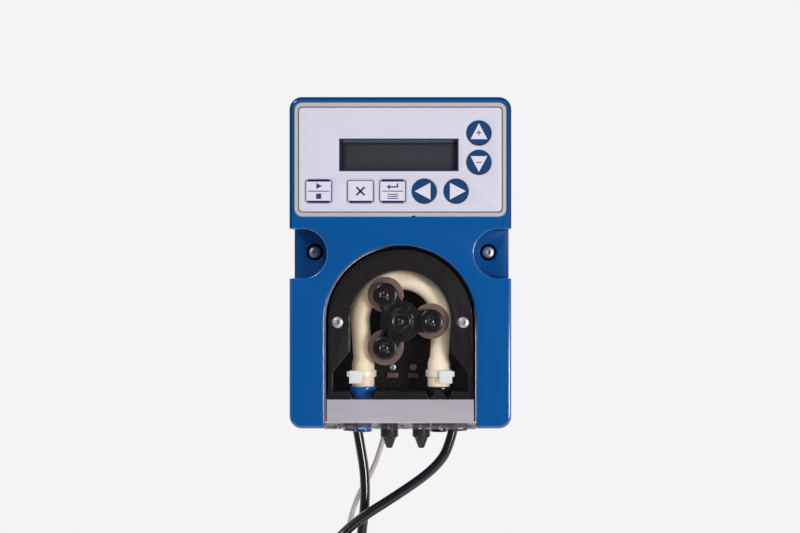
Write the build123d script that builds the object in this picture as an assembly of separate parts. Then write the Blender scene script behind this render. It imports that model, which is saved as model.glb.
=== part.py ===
from build123d import *

import math
import os

# A wall-mounted peristaltic dosing pump. Three rollers on a turning arm press a soft hose against
# a curved wall, behind a clear cover. A keypad with a display sits above, and the leads leave below.
# Millimetres. The origin is on the wall, behind the middle of the housing. +X is to the right as one
# faces the pump, +Y goes into the wall and +Z is up, so the front of the pump looks towards -Y.

# Housing
BODY_CORNER = 7.0
BODY_EDGE_ROUND = 1.8
BODY_WALL = 3.0
BODY_SIDE_RIM = 2.9
BODY_TOP_RIM = 3.3
REAR_INSET = 1.5
BEZEL_TO_BAY = 16.0
PUMP_AXIS_HEIGHT = 60.0

# Depths
PLATE_THICKNESS = 5.0
REAR_BACK_WALL = 5.5
GASKET_THICKNESS = 1.5
FACE_THICKNESS = 6.0
BAY_BACK_SPACE = 8.5
BAY_FLOOR_THICKNESS = 3.0
RECESS_DEPTH = 34.0
RECESS_FLOOR_THICKNESS = 3.5

# Wall plate with its hanging dovetail
PLATE_WIDTH = 92.0
PLATE_HEIGHT = 124.0
PLATE_CORNER = 5.0
PLATE_HOLE_INSET_X = 8.0
PLATE_HOLE_INSET_Z = 9.0
PLATE_HOLE_DIAMETER = 5.2
PLATE_SINK_DIAMETER = 10.4
DOVETAIL_WIDTH = 40.0
DOVETAIL_HEIGHT = 90.0
DOVETAIL_THICKNESS = 2.8
DOVETAIL_FLARE = 2.0
DOVETAIL_CLEARANCE = 0.1

# Screws that hold the two housings together, at the foot of an open recess on each side
RECESS_RADIUS = 13.9
RECESS_INSET = 7.25
RECESS_LIFT = 38.1
RECESS_WALL = 2.6
HOUSING_SCREW_INSET = 4.6
HOUSING_SCREW_LIFT = 1.1
HOUSING_SCREW_HEAD = 6.8
HOUSING_SCREW_HEAD_HEIGHT = 2.6
HOUSING_SCREW_SHANK = 4.0
HOUSING_SCREW_BITE = 14.0
COUNTERBORE_DIAMETER = 9.5
COUNTERBORE_DEPTH = 1.0
BOSS_DIAMETER = 10.0
BOSS_STOP_GAP = 0.1
SHANK_CLEARANCE = 0.2

# Keypad frame and face plate
BEZEL_SIDE_FRAME = 2.55
BEZEL_END_FRAME = 2.8
BEZEL_CORNER = 4.5
BEZEL_POCKET_DEPTH = 3.6
BEZEL_PROUD = 0.6
BEZEL_LEDGE = 2.0
BEZEL_FIT = 0.1
BEZEL_NOTCH_X = 7.4
BEZEL_NOTCH_WIDTH = 2.0
BEZEL_NOTCH_HEIGHT = 0.6
PANEL_CORNER = 2.0
PANEL_PROUD = 0.8
PANEL_FIT = 0.3
LEDGE_WIDTH = 1.9
WINDOW_HEIGHT = 17.8
WINDOW_LIFT = 20.3
WINDOW_FROM_LEFT = 22.8
WINDOW_TO_KEYS = 4.65
WINDOW_CORNER = 0.8
GLASS_MARGIN = 2.4
GLASS_THICKNESS = 1.0

# Keys, set out from the left edge and the foot of the face plate
ROUND_KEY_DIAMETER = 13.9
BAR_KEY_WIDTH = 15.2
BAR_KEY_HEIGHT = 13.4
BAR_KEY_CORNER = 1.5
LEFT_MARGIN = 3.5
START_TO_ESCAPE = 8.2
ESCAPE_TO_ENTER = 2.8
ENTER_TO_ARROWS = 3.15
BETWEEN_ARROWS = 3.9
ARROWS_TO_COLUMN = 12.8
RIGHT_MARGIN = 5.85
KEY_ROW_MARGIN = 4.5
ROW_TO_COLUMN = 2.25
BETWEEN_COLUMN_KEYS = 2.5
TOP_MARGIN = 7.35
KEY_FIT = 0.15
KEY_PROUD = 0.3
KEY_DEPTH_BEHIND = 0.7
KEY_TRAVEL = 0.4

# Boards behind the keypad
DOME_RADIUS = 4.0
DOME_SIDES = 8
DOME_HEIGHT = 0.5
DOME_FREE_GAP = 0.1
BOARD_THICKNESS = 1.6
KEY_BOARD_MARGIN = 0.25
MODULE_FRAME_SIDE = 2.3
MODULE_FRAME_END = 3.6
MODULE_BOARD_SIDE = 4.5
MODULE_BOARD_END = 5.5
MODULE_FRAME_DEPTH = 6.0
MODULE_FIT = 0.3

# Pump chamber: heights are drops below the pump's axis
CHAMBER_WALL = 11.9
PUMP_BODY_GAP = 0.5
PUMP_BODY_DROP = 44.0
PUMP_BODY_FRONT_GAP = 3.5
BAY_WALL = 2.6
CHAMBER_FLOOR = 2.5
THROAT_TOP_DROP = 17.0
THROAT_FOOT_DROP = 29.3
THROAT_SIDE_WALL = 2.4
LIP_HEIGHT = 4.4
PUMP_SCREW_INSET = 5.2
PUMP_SCREW_DROP = 0.5
PUMP_SCREW_HEAD = 6.5
PUMP_SCREW_HEAD_HEIGHT = 2.4
PUMP_SCREW_SINK = 1.6
CHAMBER_SCREW_SPACING = 12.0
CHAMBER_SCREW_X = 0.9
CHAMBER_SCREW_DROP = 27.3
CHAMBER_SCREW_HEAD = 4.3
CHAMBER_SCREW_HEAD_HEIGHT = 1.8
PAD_WIDTH = 6.4
PAD_HEIGHT = 2.9
PAD_THICKNESS = 1.6
PAD_UNDER_SCREW = 4.7

# Hose and rollers
HOSE_DIAMETER = 10.8
HOSE_WALL = 2.2
HOSE_SQUEEZE = 0.4
HOSE_SEAT_GAP = 0.1
HOSE_GRIP = 13.4
HOSE_STRETCH = 0.95
HOSE_SWELL_TAPER = 3.0
HOSE_LIFT = 2.2
FLAT_HOSE_WIDTH = 15.2
FLAT_HOSE_SPREAD = 17.0
ROLLER_TOUCH_GAP = 0.05
ROLLER_COUNT = 3
ROLLER_PITCH = 17.2
ROLLER_RADIUS = 7.4
ROLLER_LENGTH = 15.6
ROLLER_FLANGE_HEIGHT = 2.7
ROLLER_FLANGE_THICKNESS = 1.2
ROLLER_END_PLAY = 0.3
PIN_DIAMETER = 5.0
PIN_RUNNING_GAP = 0.05

# Rotor
ROTOR_FLOOR_GAP = 0.5
BACK_ARM_THICKNESS = 3.5
FRONT_ARM_THICKNESS = 4.5
ARM_CAP_RADIUS = 6.85
ARM_WIDTH = 12.6
ARM_WEB_RADIUS = 11.5
ARM_POCKET_DEPTH = 1.8
ARM_POCKET_START = 6.6
ARM_POCKET_LENGTH = 4.2
ARM_POCKET_WIDTH = 8.0
HUB_RADIUS = 6.2
SHAFT_DIAMETER = 8.0
SHAFT_FLAT = 0.8
SHAFT_FIT = 0.02
ROTOR_SCREW_HEAD = 3.6
ROTOR_SCREW_HEAD_HEIGHT = 1.0
ROTOR_COVER_GAP = 0.4

# Hose fittings and cable ties
FITTING_INSET = 1.6
FITTING_COLLAR_RADIUS = 7.5
FITTING_COLLAR_HEIGHT = 2.0
FITTING_CONE_RADIUS = 4.9
FITTING_NECK_RADIUS = 4.3
FITTING_RING_RADIUS = 5.0
FITTING_RING_HEIGHT = 2.8
FITTING_BORE_RADIUS = 2.2
BARB_RADIUS = 4.1
BARB_ROOT_RADIUS = 3.5
BARB_COUNT = 2
FITTING_SEAT_GAP = 0.2
TIE_DROP = 4.0
TIE_WIDTH = 3.9
TIE_THICKNESS = 1.2
TIE_HEAD_WIDTH = 7.4
TIE_HEAD_HEIGHT = 7.3
TIE_HEAD_DEPTH = 5.0

# Clear cover
COVER_FIT = 0.2
COVER_THICKNESS = 2.6
COVER_PROUD = 0.6
COVER_RIM = 1.5
COVER_RIM_DEPTH = 4.5
COVER_FOOT_HEIGHT = 4.5
COVER_FOOT_DEPTH = 25.0
COVER_SLOT_WIDTH = 16.4

# Gears, gearbox and motor
MODULE = 0.9
PRESSURE_ANGLE = 20.0
ADDENDUM = 0.9
DEDENDUM = 1.2
BACKLASH = 0.14
OUTPUT_TEETH = 36
IDLER_SMALL_TEETH = 12
IDLER_LARGE_TEETH = 32
PINION_TEETH = 12
OUTPUT_GEAR_WIDTH = 6.0
IDLER_WIDTH = 4.0
PINION_WIDTH = 6.0
GEAR_SIDE_GAP = 0.6
CASE_SIDE_MARGIN = 2.0
CASE_CORNER = 3.0
CASE_WALL = 2.5
CASE_FRONT_WALL = 2.6
CASE_DEPTH = 19.0
CASE_COVER_THICKNESS = 2.5
CASE_END_MARGIN = 4.0
CASE_TOP_MARGIN = 7.0
CASE_POST_SIZE = 6.4
CASE_SCREW_HEAD = 5.0
CASE_SCREW_HEAD_HEIGHT = 2.0
BUSH_DIAMETER = 12.0
SEAL_DIAMETER = 14.0
SHAFT_RUNNING_GAP = 0.05
IDLER_AXLE_DIAMETER = 4.0
MOTOR_SIZE = 42.0
MOTOR_CORNER = 4.0
MOTOR_LENGTH = 33.0
MOTOR_BOARD_GAP = 4.4
MOTOR_BOSS_DIAMETER = 16.0
MOTOR_SHAFT_DIAMETER = 3.0
MOTOR_SHAFT_DEPTH = 10.0

# Electrics
BOARD_SIDE_GAP = 1.4
BOARD_END_GAP = 8.5
BOARD_POST_INSET = 5.0
BOARD_POST_HEIGHT = 5.0
BOARD_POST_SIZE = 7.0
BOARD_SCREW_HEAD = 5.6
BOARD_SCREW_HEAD_HEIGHT = 1.8
TRANSFORMER_WIDTH = 38.0
TRANSFORMER_HEIGHT = 32.0
TRANSFORMER_DEPTH = 28.0
TRANSFORMER_MARGIN = 8.0
TERMINAL_COUNT = 8
TERMINAL_PITCH = 7.5
TERMINAL_HEIGHT = 11.0
TERMINAL_DEPTH = 12.0
TERMINAL_MARGIN = 8.5
TERMINAL_HOLE_SIZE = 3.4
TERMINAL_HOLE_DEPTH = 6.0

# Cable entries, in a row under the rear housing
GLAND_OFF_WALL = 36.5
GLAND_SPACING = 19.4
GLAND_ROW_X = 1.4
GLAND_HOLE_DIAMETER = 12.0
GLAND_BODY_FIT = 0.1
GLAND_HEX_WIDTH = 17.0
GLAND_HEX_HEIGHT = 4.0
GLAND_DOME_DIAMETER = 15.2
GLAND_LENGTH = 12.8
GLAND_LIP_RADIUS = 5.4
GLAND_NUT_HEIGHT = 4.0
GROMMET_COLLAR_DIAMETER = 15.0
GROMMET_COLLAR_HEIGHT = 3.0
GROMMET_BODY_DIAMETER = 10.9
GROMMET_BODY_END = 14.0
GROMMET_STEP_DIAMETER = 8.6
GROMMET_LENGTH = 20.7
GROMMET_TIP_DIAMETER = 3.4
PROBE_GLAND_X = -9.5
PROBE_GLAND_OFF_WALL = 19.0
PROBE_GLAND_DIAMETER = 9.0
PROBE_GLAND_LENGTH = 8.5

# Leads: the visible routes are chosen by hand, the rest is wound into hanging coils
LEAD_DIAMETER = 6.0
PROBE_LEAD_DIAMETER = 3.2
LEAD_COIL_RADIUS = 36.0
LEAD_COIL_COLUMN_COUNT = 3
LEAD_COIL_LAYER_COUNT = 2
COIL_SIDES = 24
CORE_SIDES = 6
PROBE_COIL_RADIUS = 19.2
PROBE_COIL_COLUMN_COUNT = 3
PROBE_COIL_LAYER_COUNT = 3
BEND_SHARE = 0.45
POWER_COIL = (9.0, -36.5, -216.0)
SIGNAL_COIL = (-18.0, -58.0, -220.0)
PROBE_COIL = (-18.8, -20.0, -211.0)
POWER_ROUTE = [
    (-25.2, -36.4, -114.5),
    (-23.0, -36.3, -129.5),
    (-23.0, -36.6, -147.0),
    (-25.4, -36.5, -166.0),
    (-26.8, -36.5, -183.0),
]
SIGNAL_ROUTE = [
    (27.4, -37.2, -112.8),
    (21.8, -38.4, -121.1),
    (12.5, -40.4, -129.4),
    (-5.9, -44.2, -141.4),
    (-28.2, -48.8, -154.8),
    (-42.6, -53.0, -168.7),
    (-52.0, -56.8, -184.5),
]
PROBE_ROUTE = [
    (-12.6, -19.0, -109.0),
    (-18.4, -19.2, -127.0),
    (-28.4, -19.4, -143.5),
    (-33.8, -19.8, -161.0),
    (-36.6, -20.0, -180.5),
]
POWER_CORE_COUNT = 3
SIGNAL_CORE_COUNT = 2
PROBE_CORE_COUNT = 2
CORE_DIAMETER = 1.8
PROBE_CORE_DIAMETER = 1.2
CORE_LENGTH = 26.0
CORE_BITE = 2.0

# Face plate: it grows with its keys
START_FROM_LEFT = LEFT_MARGIN + BAR_KEY_WIDTH / 2
ESCAPE_FROM_LEFT = START_FROM_LEFT + BAR_KEY_WIDTH + START_TO_ESCAPE
ENTER_FROM_LEFT = ESCAPE_FROM_LEFT + BAR_KEY_WIDTH + ESCAPE_TO_ENTER
ARROWS_FROM_ENTER = (BAR_KEY_WIDTH + ROUND_KEY_DIAMETER) / 2 + ENTER_TO_ARROWS
LEFT_ARROW_FROM_LEFT = ENTER_FROM_LEFT + ARROWS_FROM_ENTER
RIGHT_ARROW_FROM_LEFT = LEFT_ARROW_FROM_LEFT + ROUND_KEY_DIAMETER + BETWEEN_ARROWS
COLUMN_FROM_LEFT = RIGHT_ARROW_FROM_LEFT + ARROWS_TO_COLUMN
PANEL_WIDTH = COLUMN_FROM_LEFT + ROUND_KEY_DIAMETER / 2 + RIGHT_MARGIN
ROW_FROM_FOOT = KEY_ROW_MARGIN + ROUND_KEY_DIAMETER / 2
DOWN_KEY_FROM_FOOT = ROW_FROM_FOOT + ROUND_KEY_DIAMETER + ROW_TO_COLUMN
UP_KEY_FROM_FOOT = DOWN_KEY_FROM_FOOT + ROUND_KEY_DIAMETER + BETWEEN_COLUMN_KEYS
PANEL_HEIGHT = UP_KEY_FROM_FOOT + ROUND_KEY_DIAMETER / 2 + TOP_MARGIN
BEZEL_WIDTH = PANEL_WIDTH + 2 * BEZEL_SIDE_FRAME
BEZEL_HEIGHT = PANEL_HEIGHT + 2 * BEZEL_END_FRAME

# Radii round the pump's axis, from the rollers outwards
HOSE_RADIUS = HOSE_DIAMETER / 2
HOSE_BARB_DIAMETER = HOSE_DIAMETER + 2 * HOSE_STRETCH
FLAT_HOSE_THICKNESS = 2 * HOSE_WALL - HOSE_SQUEEZE
ROLLER_FLANGE_RADIUS = ROLLER_RADIUS + ROLLER_FLANGE_HEIGHT
RACEWAY_RADIUS = ROLLER_PITCH + ROLLER_RADIUS + FLAT_HOSE_THICKNESS + HOSE_SEAT_GAP
HOSE_PITCH = RACEWAY_RADIUS - HOSE_SEAT_GAP - HOSE_RADIUS
PUMP_BODY_RADIUS = RACEWAY_RADIUS + CHAMBER_WALL
COVER_RADIUS = PUMP_BODY_RADIUS + PUMP_BODY_GAP + COVER_RIM
ARCH_RADIUS = COVER_RADIUS + COVER_FIT

# Housings: they grow with the face plate and the pump chamber
BODY_WIDTH = BEZEL_WIDTH + 2 * BODY_SIDE_RIM
BODY_HEIGHT = PUMP_AXIS_HEIGHT + ARCH_RADIUS + BEZEL_TO_BAY + BEZEL_HEIGHT + BODY_TOP_RIM
BODY_BOTTOM = -BODY_HEIGHT / 2
REAR_WIDTH = BODY_WIDTH - 2 * REAR_INSET
REAR_HEIGHT = BODY_HEIGHT - 2 * REAR_INSET
REAR_CORNER = BODY_CORNER - REAR_INSET
REAR_BOTTOM = -REAR_HEIGHT / 2
PLATE_HOLE_SPACING_X = PLATE_WIDTH - 2 * PLATE_HOLE_INSET_X
PLATE_HOLE_SPACING_Z = PLATE_HEIGHT - 2 * PLATE_HOLE_INSET_Z

# Depth of the bay, from the pieces that stack up in it, and of the two housings
ROLLER_STACK = ROLLER_LENGTH + 2 * (ROLLER_FLANGE_THICKNESS + ROLLER_END_PLAY)
ROTOR_STACK = BACK_ARM_THICKNESS + ROLLER_STACK + FRONT_ARM_THICKNESS + ROTOR_SCREW_HEAD_HEIGHT
COVER_INSIDE = ROTOR_COVER_GAP + COVER_THICKNESS - COVER_PROUD
BAY_DEPTH = CHAMBER_FLOOR + ROTOR_FLOOR_GAP + ROTOR_STACK + COVER_INSIDE
FRONT_DEPTH = BAY_DEPTH + BAY_FLOOR_THICKNESS + BAY_BACK_SPACE
BOARD_STACK = REAR_BACK_WALL + BOARD_POST_HEIGHT + BOARD_THICKNESS + MOTOR_BOARD_GAP
DRIVE_STACK = MOTOR_LENGTH + CASE_COVER_THICKNESS + CASE_DEPTH
REAR_DEPTH = BOARD_STACK + DRIVE_STACK - BAY_BACK_SPACE - GASKET_THICKNESS

# Depth levels along Y
PLATE_FRONT = -PLATE_THICKNESS
REAR_FRONT = PLATE_FRONT - REAR_DEPTH
GASKET_FRONT = REAR_FRONT - GASKET_THICKNESS
FRONT_FACE = GASKET_FRONT - FRONT_DEPTH
BAY_FLOOR = FRONT_FACE + BAY_DEPTH
BAY_FLOOR_BACK = BAY_FLOOR + BAY_FLOOR_THICKNESS
RECESS_FLOOR = FRONT_FACE + RECESS_DEPTH
RECESS_FLOOR_BACK = RECESS_FLOOR + RECESS_FLOOR_THICKNESS
CHAMBER_BACK = BAY_FLOOR - CHAMBER_FLOOR
BACK_ARM_BACK = CHAMBER_BACK - ROTOR_FLOOR_GAP
BACK_ARM_FRONT = BACK_ARM_BACK - BACK_ARM_THICKNESS
ROLLER_BACK = BACK_ARM_FRONT - ROLLER_END_PLAY
HOSE_Y = ROLLER_BACK - ROLLER_FLANGE_THICKNESS - ROLLER_LENGTH / 2
ROLLER_FRONT = ROLLER_BACK - 2 * ROLLER_FLANGE_THICKNESS - ROLLER_LENGTH
FRONT_ARM_BACK = ROLLER_FRONT - ROLLER_END_PLAY
FRONT_ARM_FRONT = FRONT_ARM_BACK - FRONT_ARM_THICKNESS
COVER_FRONT = FRONT_FACE - COVER_PROUD
COVER_BACK = COVER_FRONT + COVER_THICKNESS
PUMP_BODY_FRONT = FRONT_FACE + PUMP_BODY_FRONT_GAP
BEZEL_BACK = FRONT_FACE + BEZEL_POCKET_DEPTH
BEZEL_FRONT = FRONT_FACE - BEZEL_PROUD
PANEL_BACK = BEZEL_BACK - BEZEL_LEDGE
PANEL_FRONT = FRONT_FACE - PANEL_PROUD
KEY_BACK = PANEL_BACK + KEY_DEPTH_BEHIND
KEY_FRONT = PANEL_FRONT - KEY_PROUD
KEY_BOARD_FRONT = KEY_BACK + KEY_TRAVEL + DOME_HEIGHT + DOME_FREE_GAP
KEY_BOARD_BACK = KEY_BOARD_FRONT + BOARD_THICKNESS
GLASS_BACK = PANEL_BACK + GLASS_THICKNESS
MODULE_BACK = GLASS_BACK + MODULE_FRAME_DEPTH
CASE_BACK = BAY_FLOOR_BACK + CASE_DEPTH
CASE_INSIDE = BAY_FLOOR_BACK + CASE_FRONT_WALL
COVER_PLATE_BACK = CASE_BACK + CASE_COVER_THICKNESS
OUTPUT_GEAR_FRONT = CASE_INSIDE + GEAR_SIDE_GAP
OUTPUT_GEAR_BACK = OUTPUT_GEAR_FRONT + OUTPUT_GEAR_WIDTH
IDLER_LARGE_FRONT = OUTPUT_GEAR_BACK + GEAR_SIDE_GAP
IDLER_LARGE_BACK = IDLER_LARGE_FRONT + IDLER_WIDTH
MOTOR_BACK = COVER_PLATE_BACK + MOTOR_LENGTH
REAR_INSIDE = PLATE_FRONT - REAR_BACK_WALL
MAIN_BOARD_BACK = REAR_INSIDE - BOARD_POST_HEIGHT
MAIN_BOARD_FRONT = MAIN_BOARD_BACK - BOARD_THICKNESS
GLAND_Y = -GLAND_OFF_WALL
PROBE_GLAND_Y = -PROBE_GLAND_OFF_WALL

# Places on the keypad
KEYPAD_Z = BODY_HEIGHT / 2 - BODY_TOP_RIM - BEZEL_HEIGHT / 2
PANEL_LEFT = -PANEL_WIDTH / 2
PANEL_FOOT = KEYPAD_Z - PANEL_HEIGHT / 2
KEY_ROW_Z = PANEL_FOOT + ROW_FROM_FOOT
KEY_COLUMN_X = PANEL_LEFT + COLUMN_FROM_LEFT
ROUND_KEYS = {
    "key_up": (KEY_COLUMN_X, PANEL_FOOT + UP_KEY_FROM_FOOT),
    "key_down": (KEY_COLUMN_X, PANEL_FOOT + DOWN_KEY_FROM_FOOT),
    "key_left": (PANEL_LEFT + LEFT_ARROW_FROM_LEFT, KEY_ROW_Z),
    "key_right": (PANEL_LEFT + RIGHT_ARROW_FROM_LEFT, KEY_ROW_Z),
}
BAR_KEYS = {
    "key_start_stop": (PANEL_LEFT + START_FROM_LEFT, KEY_ROW_Z),
    "key_escape": (PANEL_LEFT + ESCAPE_FROM_LEFT, KEY_ROW_Z),
    "key_enter": (PANEL_LEFT + ENTER_FROM_LEFT, KEY_ROW_Z),
}
WINDOW_RIGHT_GAP = WINDOW_TO_KEYS + ROUND_KEY_DIAMETER + RIGHT_MARGIN
WINDOW_WIDTH = PANEL_WIDTH - WINDOW_FROM_LEFT - WINDOW_RIGHT_GAP
WINDOW_X = PANEL_LEFT + WINDOW_FROM_LEFT + WINDOW_WIDTH / 2
WINDOW_Z = KEY_ROW_Z + WINDOW_LIFT
MODULE_FRAME_WIDTH = WINDOW_WIDTH + 2 * MODULE_FRAME_SIDE
MODULE_FRAME_HEIGHT = WINDOW_HEIGHT + 2 * MODULE_FRAME_END
MODULE_WIDTH = MODULE_FRAME_WIDTH + 2 * MODULE_BOARD_SIDE
MODULE_HEIGHT = MODULE_FRAME_HEIGHT + 2 * MODULE_BOARD_END

# Places round the pump's axis
ARCH_Z = BODY_BOTTOM + PUMP_AXIS_HEIGHT
PUMP_BODY_BOTTOM = ARCH_Z - PUMP_BODY_DROP
THROAT_TOP = ARCH_Z - THROAT_TOP_DROP
THROAT_FOOT = ARCH_Z - THROAT_FOOT_DROP
THROAT_HALF_WIDTH = PUMP_BODY_RADIUS - THROAT_SIDE_WALL
LIP_TOP = PUMP_BODY_BOTTOM + LIP_HEIGHT
PUMP_SCREW_X = PUMP_BODY_RADIUS - PUMP_SCREW_INSET
PUMP_SCREW_Z = ARCH_Z - PUMP_SCREW_DROP
CHAMBER_SCREW_Z = ARCH_Z - CHAMBER_SCREW_DROP
PAD_Z = CHAMBER_SCREW_Z - PAD_UNDER_SCREW
RECESS_X = BODY_WIDTH / 2 - RECESS_INSET
RECESS_Z = ARCH_Z + RECESS_LIFT
HOUSING_SCREW_X = RECESS_X - HOUSING_SCREW_INSET
HOUSING_SCREW_Z = RECESS_Z + HOUSING_SCREW_LIFT
COVER_BOTTOM = BODY_BOTTOM - COVER_FIT
COVER_FOOT_TOP = COVER_BOTTOM + COVER_FOOT_HEIGHT
HOSE_END_Z = LIP_TOP + HOSE_LIFT
HOSE_SWELL_TOP = HOSE_END_Z + HOSE_GRIP
TIE_TOP = HOSE_SWELL_TOP - TIE_DROP
FITTING_X = HOSE_PITCH - FITTING_INSET
FITTING_CONE_TOP = HOSE_END_Z - FITTING_COLLAR_HEIGHT
FITTING_RING_TOP = COVER_BOTTOM - FITTING_SEAT_GAP

# Places of the gears, the motor and the boards
IDLER_Z = ARCH_Z + MODULE * (OUTPUT_TEETH + IDLER_SMALL_TEETH) / 2
MOTOR_Z = IDLER_Z + MODULE * (IDLER_LARGE_TEETH + PINION_TEETH) / 2
OUTPUT_TIP_RADIUS = MODULE * (OUTPUT_TEETH / 2 + ADDENDUM)
CASE_WIDTH = MOTOR_SIZE + 2 * CASE_SIDE_MARGIN
CASE_BOTTOM = ARCH_Z - OUTPUT_TIP_RADIUS - CASE_END_MARGIN
CASE_TOP = MOTOR_Z + MOTOR_SIZE / 2 + CASE_TOP_MARGIN
MAIN_BOARD_WIDTH = 2 * (HOUSING_SCREW_X - BOSS_DIAMETER / 2 - BOARD_SIDE_GAP)
MAIN_BOARD_HEIGHT = REAR_HEIGHT - 2 * (BODY_WALL + BOARD_END_GAP)
BOARD_POST_X = MAIN_BOARD_WIDTH / 2 - BOARD_POST_INSET
BOARD_POST_Z = MAIN_BOARD_HEIGHT / 2 - BOARD_POST_INSET
TRANSFORMER_Z = (MAIN_BOARD_HEIGHT - TRANSFORMER_HEIGHT) / 2 - TRANSFORMER_MARGIN
TERMINAL_Z = (TERMINAL_HEIGHT - MAIN_BOARD_HEIGHT) / 2 + TERMINAL_MARGIN


def slab(outline, back, front):
    """Pushes an outline drawn in (X, Z) from the depth back forward to the depth front."""
    return extrude(Plane.XZ.offset(-back) * outline, amount=back - front)


def column(outline, bottom, top):
    """Pushes an outline drawn in (X, Y) from the height bottom up to the height top."""
    return extrude(Plane.XY.offset(bottom) * outline, amount=top - bottom)


def disc(x, z, radius):
    """A round outline at (x, z)."""
    return Pos(x, z) * Circle(radius)


def panel(width, height, corner, x=0.0, z=0.0):
    """A rectangle with round corners, centred on (x, z)."""
    return Pos(x, z) * RectangleRounded(width, height, corner)


def block(left, right, low, high):
    """A plain rectangle given by its sides."""
    return Pos((left + right) / 2, (low + high) / 2) * Rectangle(right - left, high - low)


def arch(radius, bottom):
    """A round-headed outline about the pump's axis, with straight sides down to bottom."""
    return disc(0, ARCH_Z, radius) + block(-radius, radius, bottom, ARCH_Z)


def turned(points, x, y):
    """Turns a profile of (radius, height) points about an upright axis at (x, y)."""
    profile = make_face(Plane.XZ * Polyline(*points, close=True))
    return Pos(x, y, 0) * revolve(profile, axis=Axis.Z)


def screw_head(x, z, seat, diameter, height):
    """A round screw head in front of the depth seat."""
    return slab(disc(x, z, diameter / 2), seat, seat - height)


def both_sides(x):
    """The same distance to the left and to the right of the middle."""
    return (-x, x)


def roller_places():
    """The (X, Z) centre of each roller at rest."""
    steps = [math.radians(360 / ROLLER_COUNT * k) for k in range(ROLLER_COUNT)]
    return [
        (ROLLER_PITCH * math.cos(a), ARCH_Z + ROLLER_PITCH * math.sin(a)) for a in steps
    ]


def gland_x(place):
    """The X of a cable entry, counted in half steps from the middle of the row."""
    return GLAND_ROW_X + place * GLAND_SPACING / 2


# ---------------------------------------------------------------- wall plate and housings


def dovetail(grow):
    """The hanging rail on the wall plate, or the groove for it when grow is over zero."""
    half = DOVETAIL_WIDTH / 2 + grow
    tip = half + DOVETAIL_FLARE
    back = PLATE_FRONT + grow
    front = PLATE_FRONT - DOVETAIL_THICKNESS - grow
    section = Polyline((-half, back), (half, back), (tip, front), (-tip, front), close=True)
    return column(make_face(section), -DOVETAIL_HEIGHT / 2 - grow, DOVETAIL_HEIGHT / 2 + grow)


def countersink(x, z, wide, narrow):
    """A right-angled cone sunk into the wall plate's front, for a flat screw head."""
    depth = (wide - narrow) / 2
    cone = Cone(narrow / 2, wide / 2, depth)
    return Pos(x, PLATE_FRONT + depth / 2, z) * Rot(90, 0, 0) * cone


def wall_plate():
    """Plate screwed to the wall, with four screw holes and the hanging rail."""
    plate = slab(panel(PLATE_WIDTH, PLATE_HEIGHT, PLATE_CORNER), 0, PLATE_FRONT)
    plate += dovetail(0)
    for x in both_sides(PLATE_HOLE_SPACING_X / 2):
        for z in both_sides(PLATE_HOLE_SPACING_Z / 2):
            plate -= slab(disc(x, z, PLATE_HOLE_DIAMETER / 2), 0, PLATE_FRONT)
            plate -= countersink(x, z, PLATE_SINK_DIAMETER, PLATE_HOLE_DIAMETER)
    return plate


def rear_housing():
    """Box on the wall plate that holds the motor and the electrics."""
    shell = slab(panel(REAR_WIDTH, REAR_HEIGHT, REAR_CORNER), PLATE_FRONT, REAR_FRONT)
    inner_width = REAR_WIDTH - 2 * BODY_WALL
    inner_height = REAR_HEIGHT - 2 * BODY_WALL
    shell -= slab(
        panel(inner_width, inner_height, REAR_CORNER - BODY_WALL), REAR_INSIDE, REAR_FRONT
    )
    # the rail hooks in from below, so its groove runs out at the bottom edge
    groove_run = REAR_HEIGHT / 2 - DOVETAIL_HEIGHT / 2
    shell -= dovetail(DOVETAIL_CLEARANCE)
    shell -= Pos(0, 0, -groove_run) * dovetail(DOVETAIL_CLEARANCE)
    for x in both_sides(HOUSING_SCREW_X):
        post = disc(x, HOUSING_SCREW_Z, BOSS_DIAMETER / 2)
        edge = math.copysign(REAR_WIDTH / 2 - BODY_WALL / 2, x)
        low, high = (HOUSING_SCREW_Z - BODY_WALL / 2, HOUSING_SCREW_Z + BODY_WALL / 2)
        rib = block(min(x, edge), max(x, edge), low, high)
        shell += slab(rib, REAR_INSIDE, REAR_FRONT)
        shell += slab(post, REAR_INSIDE, GASKET_FRONT + BOSS_STOP_GAP)
        bite = GASKET_FRONT + BOSS_STOP_GAP + HOUSING_SCREW_BITE
        shell -= slab(disc(x, HOUSING_SCREW_Z, HOUSING_SCREW_SHANK / 2), bite, GASKET_FRONT)
    for x in both_sides(BOARD_POST_X):
        for z in both_sides(BOARD_POST_Z):
            post = Pos(x, z) * Rectangle(BOARD_POST_SIZE, BOARD_POST_SIZE)
            shell += slab(post, REAR_INSIDE, MAIN_BOARD_BACK)
    for place in (-3, 3):
        hole = Pos(gland_x(place), GLAND_Y) * Circle(GLAND_HOLE_DIAMETER / 2)
        shell -= column(hole, REAR_BOTTOM, REAR_BOTTOM + BODY_WALL)
    return shell


def housing_gasket():
    """Soft frame squeezed between the two housings."""
    frame = panel(REAR_WIDTH, REAR_HEIGHT, REAR_CORNER)
    frame -= panel(
        REAR_WIDTH - 2 * BODY_WALL, REAR_HEIGHT - 2 * BODY_WALL, REAR_CORNER - BODY_WALL
    )
    return slab(frame, REAR_FRONT, GASKET_FRONT)


def recess_outline(side, grow):
    """A screw recess, open to the side: a half disc with straight sides out past the edge."""
    radius = RECESS_RADIUS + grow
    centre = side * RECESS_X
    reach = side * BODY_WIDTH
    out = block(
        min(centre, reach), max(centre, reach), RECESS_Z - radius, RECESS_Z + radius
    )
    return disc(centre, RECESS_Z, radius) + out


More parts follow.
